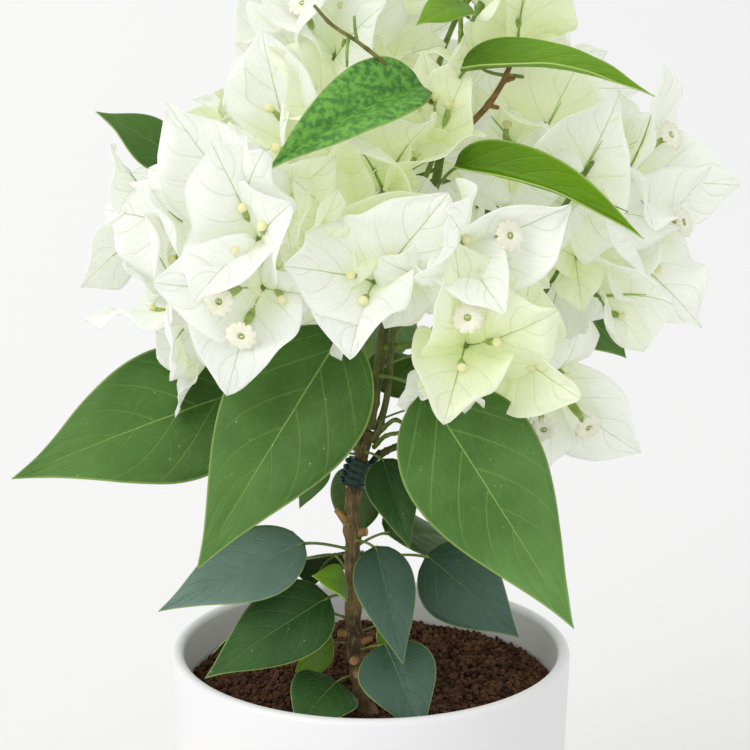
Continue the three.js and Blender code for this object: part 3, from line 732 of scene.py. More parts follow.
# %% Side twigs
SIDE_TWIGS = {
    # name: radius, bark, places
    "arc": (0.62, "tan", [(17.5, -8, 283), (8.8, -16, 291), (2.3, -20, 298), (-4.4, -22, 303.6),
                          (-11, -22, 308), (-15.8, -20, 313)]),
    "arc_up": (0.46, "light", [(-3.8, -22, 303.4), (-4.4, -22, 307), (-4.6, -22, 310.4)]),
    "arc_down": (0.46, "light", [(-6.2, -22, 304.6), (-6.6, -24, 300.6), (-6.6, -24, 296.4)]),
    "rising": (0.95, "red", [(21, -1, 266), (26.7, -6, 274.5), (33.7, -8, 282.8), (37.9, -8, 289.7),
                             (39.6, -8, 294)]),
    "rising_stub": (0.7, "red", [(37.6, -8, 289.2), (41, -8, 290.3)]),
    "rising_stub_low": (0.7, "red", [(33.4, -8, 282.4), (36.6, -8, 281.6)]),
    "top": (1.35, "light", [(23.6, 2, 286), (24.4, 0, 291.4), (28, -2, 301), (31.1, -2, 309.3),
                            (33.5, -2, 317)]),
    "top_side": (0.8, "light", [(25.4, 0, 295), (25.7, -2, 302.4), (25.2, -3, 311)]),
    "thin": (0.75, "green", [(-0.9, -13.4, 187), (-1.6, -14, 197), (-1.4, -14, 206), (-0.4, -14, 218),
                             (1, -14, 229)]),
    "second": (1.0, "olive", [(1.0, -11, 183), (4.5, -12, 196), (6, -12, 212), (8.5, -10, 230)]),
    "cut_right": (1.1, "olive", [(1.6, -12, 178.6), (4.6, -14, 181), (8, -15, 183)]),
    "cut_front": (1.0, "olive", [(0.4, -13.6, 184), (2.4, -16, 188), (3.4, -16.4, 191)]),
    "cut_left": (0.9, "olive", [(-2, -13.4, 182), (-4.4, -15.4, 185), (-5.2, -16, 188.5)]),
    "hook_high": (0.7, "green", [(1.2, -13.4, 185), (5, -18, 190.5), (7.3, -20, 192.3),
                                 (10.5, -20, 190.2), (12.8, -20, 186.6)]),
    "hook_low": (0.7, "green", [(0.9, -13.4, 182), (4.4, -18, 186.9), (8.2, -20, 188.4)]),
    "right_stem": (0.7, "green", [(44, 2, 258), (45.4, 0, 264.2), (48.2, 0, 270), (50.2, 0, 276)]),
    "right_front": (0.7, "green", [(50, -4, 246), (55.7, -10, 253.7), (60.7, -10, 261.7),
                                   (65.5, -10, 270)]),
    "right_low": (0.7, "green", [(46, -4, 218), (49, -10, 225.6), (52.6, -10, 231.6), (56, -10, 238)]),
}
SIDE_BARKS = {
    "red": plain_tissue("twig_red_brown", colour(0.13, 0.065, 0.012), colour(0.27, 0.15, 0.035), 0.5),
    "green": green_shoot,
    "olive": olive_bark,
    "tan": plain_tissue("twig_tan", colour(0.12, 0.11, 0.02), colour(0.24, 0.23, 0.05), 0.5),
    "light": plain_tissue("twig_light_green", colour(0.13, 0.24, 0.03), colour(0.25, 0.38, 0.07), 0.5),
}


def make_side_twigs():
    bm = bmesh.new()
    order = list(SIDE_BARKS)
    for radius, skin, places in SIDE_TWIGS.values():
        sweep(bm, smooth_route(places, 0.5), knuckled(taper(radius * 1.1, radius * 0.8), 3), sides=12,
              steps=24, material=order.index(skin))
    for vert in bm.verts:
        vert.co += vert.co.normalized() * 0.12 * noise.noise(vert.co * 0.7)
    return finish_piece(bm, "side_twigs", list(SIDE_BARKS.values()))


make_side_twigs()

# %% [markdown]
# A dark green plastic band ties the stem. It is a ribbed strap: four ribs round it, a ratchet of
# small beads on its left and the cut tail standing up on its right. The profile is spun, then
# tilted and carried to its place on the stem.

# %% Tie
TIE = {"height": 174.5, "band": 8, "wall": 1.5, "tilt": 5, "ribs": 4, "rib_steps": 6, "rib": 0.26,
       "beads": 4, "bead": 0.85, "bead_gap": 1.9}


def tie_material():
    material, tree, shader = new_material("tie_green_plastic")
    cloud = mottle(tree, 350.0, 2.0)
    link_in(tree, shader,
            Base_Color=blend(tree, cloud, colour(0.002, 0.020, 0.014), colour(0.010, 0.050, 0.038)),
            Roughness=maths(tree, "MULTIPLY_ADD", cloud, 0.2, 0.28),
            Normal=bumped(tree, cloud, 0.0001))
    return material


def make_tie():
    t = at_height(trunk_route, TIE["height"])
    centre, way = trunk_route(t), way_along(trunk_route, t)
    inner = trunk_radius(t) + 0.2
    half, wall = TIE["band"] / 2, TIE["wall"]
    outer = []
    steps = TIE["ribs"] * TIE["rib_steps"]
    for step in range(steps + 1):
        share = step / steps
        rib = TIE["rib"] * math.cos(2 * math.pi * TIE["ribs"] * share)
        outer.append((inner + wall + rib, -half + 2 * half * share))
    bm = bmesh.new()
    spin_profile(bm, [(inner, -half), *outer, (inner, half), (inner, -half)], 48)
    for index in range(TIE["beads"]):
        rise = (index - (TIE["beads"] - 1) / 2) * TIE["bead_gap"]
        spot = Matrix.Translation((-inner - wall - 0.2, -0.6, rise))
        bmesh.ops.create_icosphere(bm, subdivisions=2, radius=TIE["bead"], matrix=spot)
    tail = bent_route(Vector((inner + 0.6, 0.4, half - 2)), Vector((inner + 1.2, 0.4, half + 1)),
                      Vector((inner + 2.4, 0.6, half + 4.2)))
    sweep(bm, tail, taper(1.3, 0.9), sides=12, steps=6)
    for face in bm.faces:
        face.smooth = True
    tilt = Matrix.Rotation(math.radians(TIE["tilt"]), 4, Vector((0, 1, 0)))
    stand = way.to_track_quat("Z", "X").to_matrix().to_4x4()
    level = Matrix.Rotation(stand.to_euler().z, 4, "Z").inverted()
    bmesh.ops.transform(bm, matrix=Matrix.Translation(centre) @ tilt @ stand @ level, verts=bm.verts)
    return finish_piece(bm, "stem_tie_band", [tie_material()], ["stem_tie"])


make_tie()

# %% [markdown]
# A blade, leaf or bract, is a grid laid over a bent midrib. Its rows narrow to a point at both
# ends, its halves fold up from the midrib and curl towards the edge, and its surface swells
# between the side veins. One function does all of it, and a leaf and a bract differ in numbers.

# %% Blades
POINT = {"from": 0.72, "share": 0.42}


def leaf_outline(s):
    return math.sin(math.pi * s ** VEIN["widest"]) * (1 - 0.35 * s ** 4)


def bract_outline(s):
    """Broad to three quarters of its length, then drawn to a short point."""
    drawn = max(0.0, (s - POINT["from"]) / (1 - POINT["from"]))
    return math.sin(math.pi * s ** 0.62) ** 0.68 * (1 - POINT["share"] * drawn)


def midrib(blade, s):
    """The place of the midrib at s, from 0 at the base to 1 at the tip, and the way up from it."""
    bend = math.radians(blade["droop"])
    ahead, down = math.sin(bend * s) / bend, (1 - math.cos(bend * s)) / bend
    centre = blade["base"] + (blade["way"] * ahead - blade["face"] * down) * blade["length"]
    return centre, blade["face"] * math.cos(bend * s) + blade["way"] * math.sin(bend * s)


def blade_point(blade, outline, across, s):
    centre, up = midrib(blade, s)
    right = blade["way"].cross(blade["face"])
    half = blade["width"] / 2 * max(outline(min(max(s, 0.0), 1.0)), 0.0)
    far = abs(across)
    lift = math.radians(blade["fold"] + blade["curl"] * far)
    start = s - blade["rake"] * far ** VEIN["arch"]
    count = start * blade["pairs"] + (0.5 if across > 0 else 0.0)
    pillow = blade["quilt"] * (abs(math.sin(math.pi * count)) ** 0.7 - 0.6) * (1 - far ** 4)
    ends = min(1.0, half / 4)
    phase = blade["phase"] + (1.7 if across > 0 else 0.0)
    wave = blade["wave"] * far ** 1.6 * math.sin(2 * math.pi * blade["waves"] * s + phase)
    crumple = blade["crumple"] * noise.noise(centre * 0.11 + right * across * 1.6)
    side = half * across * math.cos(lift) + blade["hook"] * s * s * blade["length"]
    height = half * far * math.sin(lift) + (pillow + wave + crumple * far) * ends
    return centre + right * side + up * height


def add_blade(bm, blade, outline, columns, rows, material):
    """The grid's corners are laid on the blade, and its two ends are drawn to a point."""
    made = bmesh.ops.create_grid(bm, x_segments=columns, y_segments=rows, size=0.5, calc_uvs=True)
    verts = made["verts"]
    for vert in verts:
        vert.co = blade_point(blade, outline, vert.co.x * 2, vert.co.y + 0.5)
    for face in {face for vert in verts for face in vert.link_faces}:
        face.material_index = material
        face.smooth = True
    bmesh.ops.remove_doubles(bm, verts=verts, dist=0.01)


def new_blades():
    bm = bmesh.new()
    bm.loops.layers.uv.new(BLADE_MAP)
    return bm


def thicken(piece, thickness, edge_offset=2):
    """The sheet gets its thickness. Its underside takes the next material, its edge another."""
    solid = piece.modifiers.new("thickness", "SOLIDIFY")
    solid.thickness = thickness * MM
    solid.offset = 0
    solid.use_even_offset = False
    solid.material_offset = 1
    solid.material_offset_rim = edge_offset


def blade_frame(heading, rise, roll):
    way = direction(heading, rise)
    return way, turned(right_of(heading).cross(way), way, roll)


print("blade helpers ready")

# %% [markdown]
# A leaf's upper side is a waxy mid-green, darker at its base and lighter towards its tip, where
# the lighter colour is a painted sheen, with thin pale veins and a pale edge. The low leaves are
# older and darker, with a bluish cast that is the sky's sheen painted in; the topmost are young
# and bright. The underside is lighter and duller. A few white specks lie on the upper side, as
# dried drops leave them.

# %% Leaf materials
LEAF_GRAIN = {"rake": 0.34, "pairs": 6.0, "quilt": 0.26, "waves": 1.4, "crumple": 0.5}
LEAF_LINE = {"line": 0.015, "mesh": 15.0}
LEAF_EDGE = colour(0.36, 0.50, 0.13)
DRY_DROP = colour(0.6, 0.65, 0.58)


def leaf_material(name, deep, light, vein, specks, vein_share, rough, mottled=0.0):
    material, tree, shader = new_material(name)
    veins = veins_in(tree, LEAF_GRAIN["pairs"], LEAF_GRAIN["rake"], **LEAF_LINE)
    cloud = mottle(tree, 45.0, 3.0)
    # painted sheen: the blade grows lighter towards its tip, where the sky's sheen lay on it
    share = maths(tree, "MULTIPLY_ADD", veins["Along"], 0.5, maths(tree, "MULTIPLY", cloud, 0.9))
    tissue = blend(tree, ramp(tree, share, 0.25, 1.0), deep, light)
    if mottled:
        patches = ramp(tree, mottle(tree, 560.0), 0.40, 0.62)
        tissue = blend(tree, maths(tree, "MULTIPLY", patches, mottled), tissue, vein)
    lines = maths(tree, "MULTIPLY", veins["Sides"], vein_share)
    lines = maths(tree, "MULTIPLY_ADD", veins["Net"], 0.08, lines, clamp=True)
    lines = maths(tree, "MAXIMUM", lines, veins["Midrib"])
    tint = blend(tree, lines, tissue, vein)
    tint = blend(tree, maths(tree, "MULTIPLY", veins["Edge"], 0.7), tint, LEAF_EDGE)
    if specks:
        where = node(tree, "ShaderNodeTexCoord").outputs["Object"]
        drops = node(tree, "ShaderNodeTexVoronoi", {"Vector": where, "Scale": 420.0})
        few = maths(tree, "GREATER_THAN", drops.outputs["Color"], 0.72)
        dots = maths(tree, "MULTIPLY", near(tree, drops.outputs["Distance"], 0.16), few)
        tint = blend(tree, maths(tree, "MULTIPLY", dots, specks), tint, DRY_DROP)
    height = maths(tree, "MULTIPLY_ADD", veins["Sides"], -0.8, maths(tree, "MULTIPLY", cloud, 0.5))
    height = maths(tree, "MULTIPLY_ADD", veins["Midrib"], -1.0, height)
    height = maths(tree, "MULTIPLY_ADD", veins["Net"], -0.25, height)
    link_in(tree, shader, Base_Color=tint,
            Roughness=maths(tree, "MULTIPLY_ADD", cloud, 0.16, rough - 0.08),
            Specular_IOR_Level=0.24, Normal=bumped(tree, height, 0.0003, 0.7))
    return material


LEAF_TINTS = {
    # name: deep green, light green, vein, specks, side veins, roughness, mottling
    "green": ((0.014, 0.066, 0.001), (0.095, 0.218, 0.038), (0.250, 0.420, 0.090),
        0.5, 0.24, 0.46, 0),
    # painted light: a lighter copy of the green tint for the great right leaf, which stood in more light
    "painted_lit_green": ((0.022, 0.085, 0.002), (0.128, 0.280, 0.064), (0.280, 0.460, 0.110),
        0.5, 0.26, 0.46, 0),
    "dark": ((0.006, 0.040, 0.002), (0.046, 0.124, 0.028), (0.150, 0.290, 0.080),
        0.4, 0.2, 0.4, 0),
    # partly painted sheen: the dark green is the leaf's own, and the bluish grey of the light end is the
    # sky's sheen painted in
    "blue": ((0.016, 0.060, 0.026), (0.080, 0.148, 0.110), (0.160, 0.280, 0.120),
        0.35, 0.2, 0.38, 0),
    # painted sheen: a lighter, bluer copy for the low left leaf, its sky reflection painted into its
    # colour
    "sheen": ((0.060, 0.130, 0.080), (0.185, 0.280, 0.232), (0.220, 0.340, 0.200),
        0.3, 0.2, 0.38, 0),
    "deep": ((0.016, 0.058, 0.002), (0.075, 0.160, 0.018), (0.120, 0.240, 0.040),
        0.0, 0.26, 0.42, 0),
    "bright": ((0.070, 0.190, 0.001), (0.180, 0.370, 0.012), (0.360, 0.540, 0.060),
        0.0, 0.28, 0.45, 0),
    "mottled": ((0.055, 0.190, 0.040), (0.085, 0.250, 0.045), (0.190, 0.470, 0.070),
        0.0, 0.4, 0.42, 0.85),
}
LEAF_ORDER = list(LEAF_TINTS)


def leaf_materials():
    """Three for each tint: the upper side, the underside and the edge."""
    row = []
    for name, (deep, light, rib, specks, share, rough, mottled) in LEAF_TINTS.items():
        vein = colour(*rib)
        dull_deep = colour(*(part * 1.5 + 0.012 for part in deep))
        dull_light = colour(*(part * 1.15 + 0.02 for part in light))
        row += [leaf_material(f"leaf_{name}", colour(*deep), colour(*light), vein, specks, share, rough,
                              mottled),
                leaf_material(f"leaf_{name}_under", dull_deep, dull_light, vein, 0, share + 0.2, 0.6),
                plain_tissue(f"leaf_{name}_edge", vein, colour(0.42, 0.52, 0.18), 0.5)]
    return row


leaf_skins = leaf_materials()
print("leaf materials:", len(leaf_skins))

# %% [markdown]
# The single leaves stand on the trunk and the shoots. Each row gives the limb and the height it
# leaves at, the petiole and the blade, in the order of the solids. Tint says how old the leaf is.

# %% The places of the leaves
def leaf(stand, petiole, blade, shape, tint, **bends):
    """petiole and blade: heading, rise and length. shape: width, roll and droop."""
    return {"stand": stand, "petiole": petiole, "blade": blade, "shape": shape, "tint": tint, **bends}


LEAVES = {
    "low_left": leaf(("trunk", 152), (-147, 20, 15), (-159, -16, 47), (24, -38, 12), "sheen"),
    "low_front_left": leaf(("trunk", 139), (-131, 11, 8), (-146, -18, 44), (24, -46, 22), "dark"),
    "young": leaf(("trunk", 141), (-100, 19, 6), (-118, 40, 16), (12, -60, 40), "bright"),
    "low_pale": leaf(("trunk", 123), (134, -10, 7), (140, -38, 22), (15, -60, 10), "bright"),
    "foot_front": leaf(("trunk", 115), (-125, 6, 8), (-118, -6, 24), (21, -20, 30), "dark"),
    "low_front": leaf(("trunk", 155), (-57, 8, 10), (-67, -53, 36), (18, 12, 10), "blue"),
    "low_right": leaf(("trunk", 148), (22, -2, 21), (-17, -36, 38), (26, 52, 20), "blue"),
    "foot_right": leaf(("trunk", 122), (-49, 28, 12), (-65, -34, 31), (23, 20, 22), "blue"),
    "tie_right": leaf(("trunk", 181), (-60, 4, 9), (-64, -49, 28), (15, 16, 10), "dark"),
    "behind_trunk": leaf(("trunk", 163), (82, 24, 17), (130, -74, 27), (19, -100, 8), "deep"),
    "low_back_right": leaf(("trunk", 152), (56, 0, 15), (40, -10, 37), (20, 30, 20), "deep"),
    "small_right": leaf(("trunk", 133), (52, 6, 11), (54, -30, 18), (11, 60, 20), "dark"),
    "small_bright": leaf(("trunk", 127), (0, 30, 6), (-30, -62, 14), (7, 20, 10), "bright"),
    "tie_left": leaf(("trunk", 180), (-170, 4, 10), (155, -66, 20), (11, -80, 10), "green"),
    "great_front": leaf(("leader", 222), (-119, 0, 25), (-138, -46, 80), (41, -36, 8), "green", wave=1.2),
    "great_left": leaf(("bough_left", 204), (-165, -4, 26), (-163, -14, 76), (42, -50, 14), "green",
        wave=1.6),
    # painted light: this leaf takes the lighter, lit copy of the green
    "great_right": leaf(("leader", 203), (-62, 6, 26), (-32, -50, 80), (41, 42, 10), "painted_lit_green"),
    "mid_back": leaf(("leader", 196), (84, -4, 11), (48, 20, 28), (19, 35, 30), "deep"),
    "mid_right": leaf(("leader", 205), (47, 0, 24), (40, -32, 36), (20, 60, 15), "dark"),
    "hook": leaf(("leader", 189), (10, 20, 12), (40, -66, 12), (9, 60, 10), "dark"),
    "right": leaf(("bough_right", 236), (20, -20, 12), (-4, -44, 42), (32, 56, 12), "green"),
    "arched_right": leaf(("leader", 256), (-70, 35, 18), (-32, 4, 60), (20, 40, 42), "bright", fold=34,
        curl=16, hook=0.1),
    "great_back": leaf(("bough_back_left", 212), (80, 0, 22), (96, -34, 76), (42, 8, 12), "green"),
    "great_back_left": leaf(("bough_back_left", 200), (150, 0, 22), (142, -30, 72), (40, -6, 14), "green"),
    "great_back_right": leaf(("bough_back_right", 218), (40, -8, 18), (48, -38, 76), (42, 0, 10), "green"),
    "low_back": leaf(("trunk", 143), (112, 16, 12), (104, -24, 40), (23, 0, 20), "dark"),
    "low_back_left": leaf(("trunk", 131), (165, 14, 10), (158, -20, 38), (22, 10, 20), "dark"),
    "mottled": leaf(("leader", 279), (-114, 31, 20), (-135, -4, 56), (25, -34, 38), "mottled", fold=40),
    "arched_top": leaf(("leader", 280), (-77, 45, 19), (-26, 14, 58), (17, 26, 36), "bright", fold=30,
        curl=10, hook=0.06),
}

print("single leaves:", len(LEAVES))

# %% [markdown]
# A petiole is stout where it leaves the bark, thins at once and swells a little at the blade. The
# midrib stands out under the blade as a ridge, and both are routes swept with a radius.

# %% Leaves on the trunk and the shoots
LEAF_BENDS = {"fold": 16, "curl": -14, "wave": 0.7, "hook": 0.0}
LEAF_THICKNESS = 0.42
SIDES = 3  # the materials of a blade: its upper side, its underside and its edge


def leaf_shape(start, row, chance):
    """The way of the petiole and the blade that it carries."""
    petiole_heading, petiole_rise, petiole_length = row["petiole"]
    heading, rise, length = row["blade"]
    stalk = direction(petiole_heading, petiole_rise)
    width, roll, droop = row["shape"]
    way, face = blade_frame(heading, rise, roll)
    blade = {"base": start + stalk * petiole_length, "way": way, "face": face, "length": length,
             "width": width, "droop": droop, "phase": chance.between(0, 6), **LEAF_GRAIN}
    return stalk, {**blade, **{bend: row.get(bend, usual) for bend, usual in LEAF_BENDS.items()}}


def petiole_radius(t):
    return 1.25 - 0.75 * min(1, t * 3) + 0.35 * max(0, t - 0.8) * 2


def add_leaf(leaves, stems, root, start, row, chance):
    """A leaf with its petiole, and the midrib that stands out under it."""
    stalk, blade = leaf_shape(start, row, chance)
    length = row["petiole"][2]
    joint = midrib(blade, 0.03)[0]
    knee = start + stalk * length * 0.6 + Vector((0, 0, length * 0.12))
    big = min(1.0, 0.55 + blade["length"] / 150)
    sweep(stems, bent_route(root, start.lerp(root, 0.2), knee, joint),
          lambda t: big * petiole_radius(t), sides=10, steps=14)
    ridge = [midrib(blade, s)[0] - midrib(blade, s)[1] * (0.35 if s > 0.05 else 0.1)
             for s in (0.0, 0.12, 0.3, 0.5, 0.7, 0.88)]
    sweep(stems, smooth_route(ridge), taper(0.72 * big, 0.14), sides=8, steps=16)
    columns, rows = (18, 44) if blade["length"] > 50 else (14, 30)
    add_blade(leaves, blade, leaf_outline, columns, rows, SIDES * LEAF_ORDER.index(row["tint"]))


petiole_green = plain_tissue("petiole_green", colour(0.120, 0.190, 0.024), colour(0.21, 0.30, 0.05),
                             0.48)
rib_green = plain_tissue("rib_green", colour(0.24, 0.38, 0.06), colour(0.36, 0.52, 0.13), 0.5)


def make_leaves():
    for limb, title in (("trunk", "low"), ("leader", "leader"), ("bough", "bough")):
        rows = {f"leaf_{name}": row for name, row in LEAVES.items()
                if row["stand"][0].startswith(limb)}
        leaves, stems = new_blades(), bmesh.new()
        chance = Chance(29)
        for row in rows.values():
            root, start = leaving(*row["stand"], row["petiole"][0])
            add_leaf(leaves, stems, root, start, row, chance)
        piece = finish_piece(leaves, f"leaves_{title}", leaf_skins, list(rows), False)
        thicken(piece, LEAF_THICKNESS)
        finish_piece(stems, f"petioles_{title}", [petiole_green])


make_leaves()

# %% [markdown]
# A bract is a leaf that became petal: papery, white where it is full grown and yellow-green near
# its base or while it is young, with a green midrib and a net of fine veins. Light passes into
# it, so it gets some scattering under the surface, and it is given a painted glow of its own
# colour: an emission that stands in for the light coming through it and lifts its shaded parts.
# Three of them stand round three flowers.

# %% Bract and flower materials
BRACT_GRAIN = {"rake": 0.40, "pairs": 4.0}
BRACT_LINE = {"line": 0.017, "mesh": 13.0}
# painted light: the bracts glow in their own colour at this strength, though they are no lamp
PAINTED_GLOW = 0.33
SIDE_VEIN = colour(0.44, 0.56, 0.22)
VEIN_GREEN = colour(0.17, 0.32, 0.035)


def bract_material(name, green, white, reach, rough=0.62):
    """reach says how far up the blade the green of the base goes."""
    material, tree, shader = new_material(name)
    veins = veins_in(tree, **BRACT_GRAIN, **BRACT_LINE)
    cloud = mottle(tree, 40.0, 3.0)
    climb = maths(tree, "MULTIPLY_ADD", cloud, 0.6, veins["Along"])
    climb = maths(tree, "MULTIPLY_ADD", veins["Across"], 0.25, climb)
    tissue = blend(tree, ramp(tree, climb, 0.2, reach + 0.45), green, white)
    lines = maths(tree, "MULTIPLY", veins["Sides"], 0.36)
    lines = maths(tree, "MULTIPLY_ADD", veins["Net"], 0.07, lines, clamp=True)
    tissue = blend(tree, lines, tissue, SIDE_VEIN)
    strong = maths(tree, "MULTIPLY_ADD", veins["Along"], -0.8, 1.25, clamp=True)
    tissue = blend(tree, maths(tree, "MULTIPLY", veins["Midrib"], strong), tissue, VEIN_GREEN)
    height = maths(tree, "MULTIPLY_ADD", veins["Sides"], -0.8, cloud)
    height = maths(tree, "MULTIPLY_ADD", veins["Net"], -0.3, height)
    # painted glow: the tissue colour is also emitted, standing in for light through the bract and in its
    # shade
    link_in(tree, shader, Base_Color=tissue, Emission_Color=tissue, Emission_Strength=PAINTED_GLOW,
            Roughness=rough, Specular_IOR_Level=0.2, Normal=bumped(tree, height, 0.0003, 0.7),
            Subsurface_Weight=0.5, Subsurface_Radius=(1.0, 1.0, 0.75), Subsurface_Scale=0.003)
    return material


BRACT_TINTS = {
    # name: colour at the base, colour at the tip, how far up the base colour reaches
    "open": ((0.580, 0.650, 0.320), (0.675, 0.690, 0.635), 0.36),
    "young": ((0.540, 0.620, 0.280), (0.635, 0.670, 0.480), 0.75),
    "far": ((0.560, 0.630, 0.340), (0.650, 0.670, 0.600), 0.42),
}
BRACT_ORDER = list(BRACT_TINTS)


def bract_materials():
    row = []
    for name, (base, tip, reach) in BRACT_TINTS.items():
        green, white, shade = colour(*base), colour(*tip), colour(*(part * 0.97 for part in tip))
        row += [bract_material(f"bract_{name}", green, white, reach),
                bract_material(f"bract_{name}_under", green, shade, reach + 0.1, 0.67),
                plain_tissue(f"bract_{name}_edge", green, white, 0.6)]
    return row


bract_skins = bract_materials()
cream = plain_tissue("flower_cream", colour(0.88, 0.87, 0.66), colour(0.95, 0.94, 0.80), 0.6)
eye_green = plain_tissue("flower_eye", colour(0.045, 0.085, 0.004), colour(0.16, 0.21, 0.012), 0.6,
                         900)
tube_green = plain_tissue("flower_tube", colour(0.24, 0.36, 0.055), colour(0.46, 0.56, 0.17), 0.5)
bud_yellow = plain_tissue("bud_yellow", colour(0.82, 0.80, 0.36), colour(0.90, 0.87, 0.55), 0.6)
flower_skins = [cream, eye_green, tube_green, bud_yellow]
CREAM, EYE, TUBE, YELLOW = range(len(flower_skins))
print("bract materials:", len(bract_skins), "flower materials:", len(flower_skins))

# %% [markdown]
# The true flower is small: a green tube that swells at its foot and flares at its mouth into a
# cream disc of ten frilled lobes round a dark eye. The ones that haven't opened are clubs with a
# pale yellow head. The disc is a circle extruded outwards ring by ring.

# %% Flowers and buds
FLOWER = {"from": 0.22, "length": 13.5, "lobes": 10, "points": 60, "notch": 0.17, "frill": 0.34,
          "thick": 0.22}
# the disc's rings, from the eye's floor outwards: radius, height
RINGS = [(0.95, -1.6), (1.0, 0.1), (1.5, 0.45), (2.5, 0.6), (3.5, 0.55), (4.2, 0.4), (4.6, 0.05)]
ANTHERS = {"count": 3, "radius": 0.28, "aside": 0.45}


def facing(place, way, spin):
    """A matrix that carries something drawn round +Z to a place, facing a way."""
    stand = way.to_track_quat("Z", "Y").to_matrix().to_4x4()
    return Matrix.Translation(place) @ stand @ Matrix.Rotation(spin, 4, "Z")


def ring_place(co, ring, frill):
    """Where a corner of the disc goes on its ring: frill is 0 at the eye and grows to the lobes."""
    radius, height = ring
    angle = math.atan2(co.y, co.x)
    lobe = abs(math.cos(FLOWER["lobes"] / 2 * angle)) ** 0.6
    far = radius * (1 - FLOWER["notch"] * frill * (1 - lobe))
    up = height + FLOWER["frill"] * frill * math.cos(FLOWER["lobes"] * angle * 2 + 0.6)
    return Vector((math.cos(angle) * far, math.sin(angle) * far, up))


def add_disc(bm, place):
    verts = bmesh.ops.create_circle(bm, segments=FLOWER["points"], radius=RINGS[0][0])["verts"]
    edges = list({edge for vert in verts for edge in vert.link_edges})
    made = list(verts)
    floor = bmesh.ops.contextual_create(bm, geom=edges)["faces"]
    for vert in verts:
        vert.co.z = RINGS[0][1]
    for number, ring in enumerate(RINGS[1:]):
        verts, edges = next_ring(bm, edges)
        for vert in verts:
            vert.co = ring_place(vert.co, ring, max(0.0, (number - 1) / 4))
        for face in {face for vert in verts for face in vert.link_faces}:
            face.material_index = EYE if number == 0 else CREAM
            face.smooth = True
        made += verts
    for face in floor:
        face.material_index = EYE
    back = bmesh.ops.duplicate(bm, geom=list({face for vert in made for face in vert.link_faces}))
    hidden = [item for item in back["geom"] if isinstance(item, bmesh.types.BMVert)]
    bmesh.ops.translate(bm, vec=(0, 0, -FLOWER["thick"]), verts=hidden)
    bmesh.ops.transform(bm, matrix=place, verts=made + hidden)


def tube_radius(t):
    return 0.75 + 0.55 * math.sin(math.pi * min(1, t * 1.6)) + 0.55 * t ** 4


def add_flower(bm, base, way, chance):
    mouth = base + way * FLOWER["length"]
    bow = base.lerp(mouth, 0.5) + Vector((0, 0, chance.between(-0.8, 0.8)))
    sweep(bm, bent_route(base, bow, mouth), tube_radius, sides=10, steps=12, material=TUBE)
    add_disc(bm, facing(mouth, way, chance.between(0, 3)))
    for _ in range(ANTHERS["count"]):
        spot = mouth + way * 0.2 + direction(chance.between(0, 360), 0) * ANTHERS["aside"]
        bmesh.ops.create_icosphere(bm, subdivisions=1, radius=ANTHERS["radius"],
                                   matrix=Matrix.Translation(spot))


def club_radius(t):
    swelling = 0.7 + 0.35 * math.sin(math.pi * min(1, t * 1.8))
    club = 0.75 * math.exp(-((t - 0.88) / 0.11) ** 2)
    return (swelling + club) * (1 - 0.55 * max(0.0, (t - 0.93) / 0.07))


def add_bud(bm, base, way, length, chance):
    tip = base + way * length
    bow = base.lerp(tip, 0.55) + direction(chance.between(0, 360), 0) * 0.9
    made = sweep(bm, bent_route(base, bow, tip), club_radius, sides=10, steps=16, material=TUBE)
    for face in {face for vert in made for face in vert.link_faces}:
        if (face.calc_center_median() - base).length > length * 0.74:
            face.material_index = YELLOW


print("lobes in a disc:", FLOWER["lobes"])

# %% [markdown]
# Now the blossom. It stands in masses, and each mass grows by one stem from its shoot. A head is
# three bracts round their flowers: it has a place, a way that it faces, and for each bract where
# it stands on the clock, how far it opens and how long it is.

# %% The heads of each mass
def head(place, facing_way, *bracts, flowers=0, first=0, tint="open", behind=2):
    """flowers open from the first bract on, and behind counts the small young heads at its back."""
    return {"place": place, "facing": facing_way, "bracts": bracts, "flowers": flowers,
            "first": first, "tint": tint, "behind": behind}


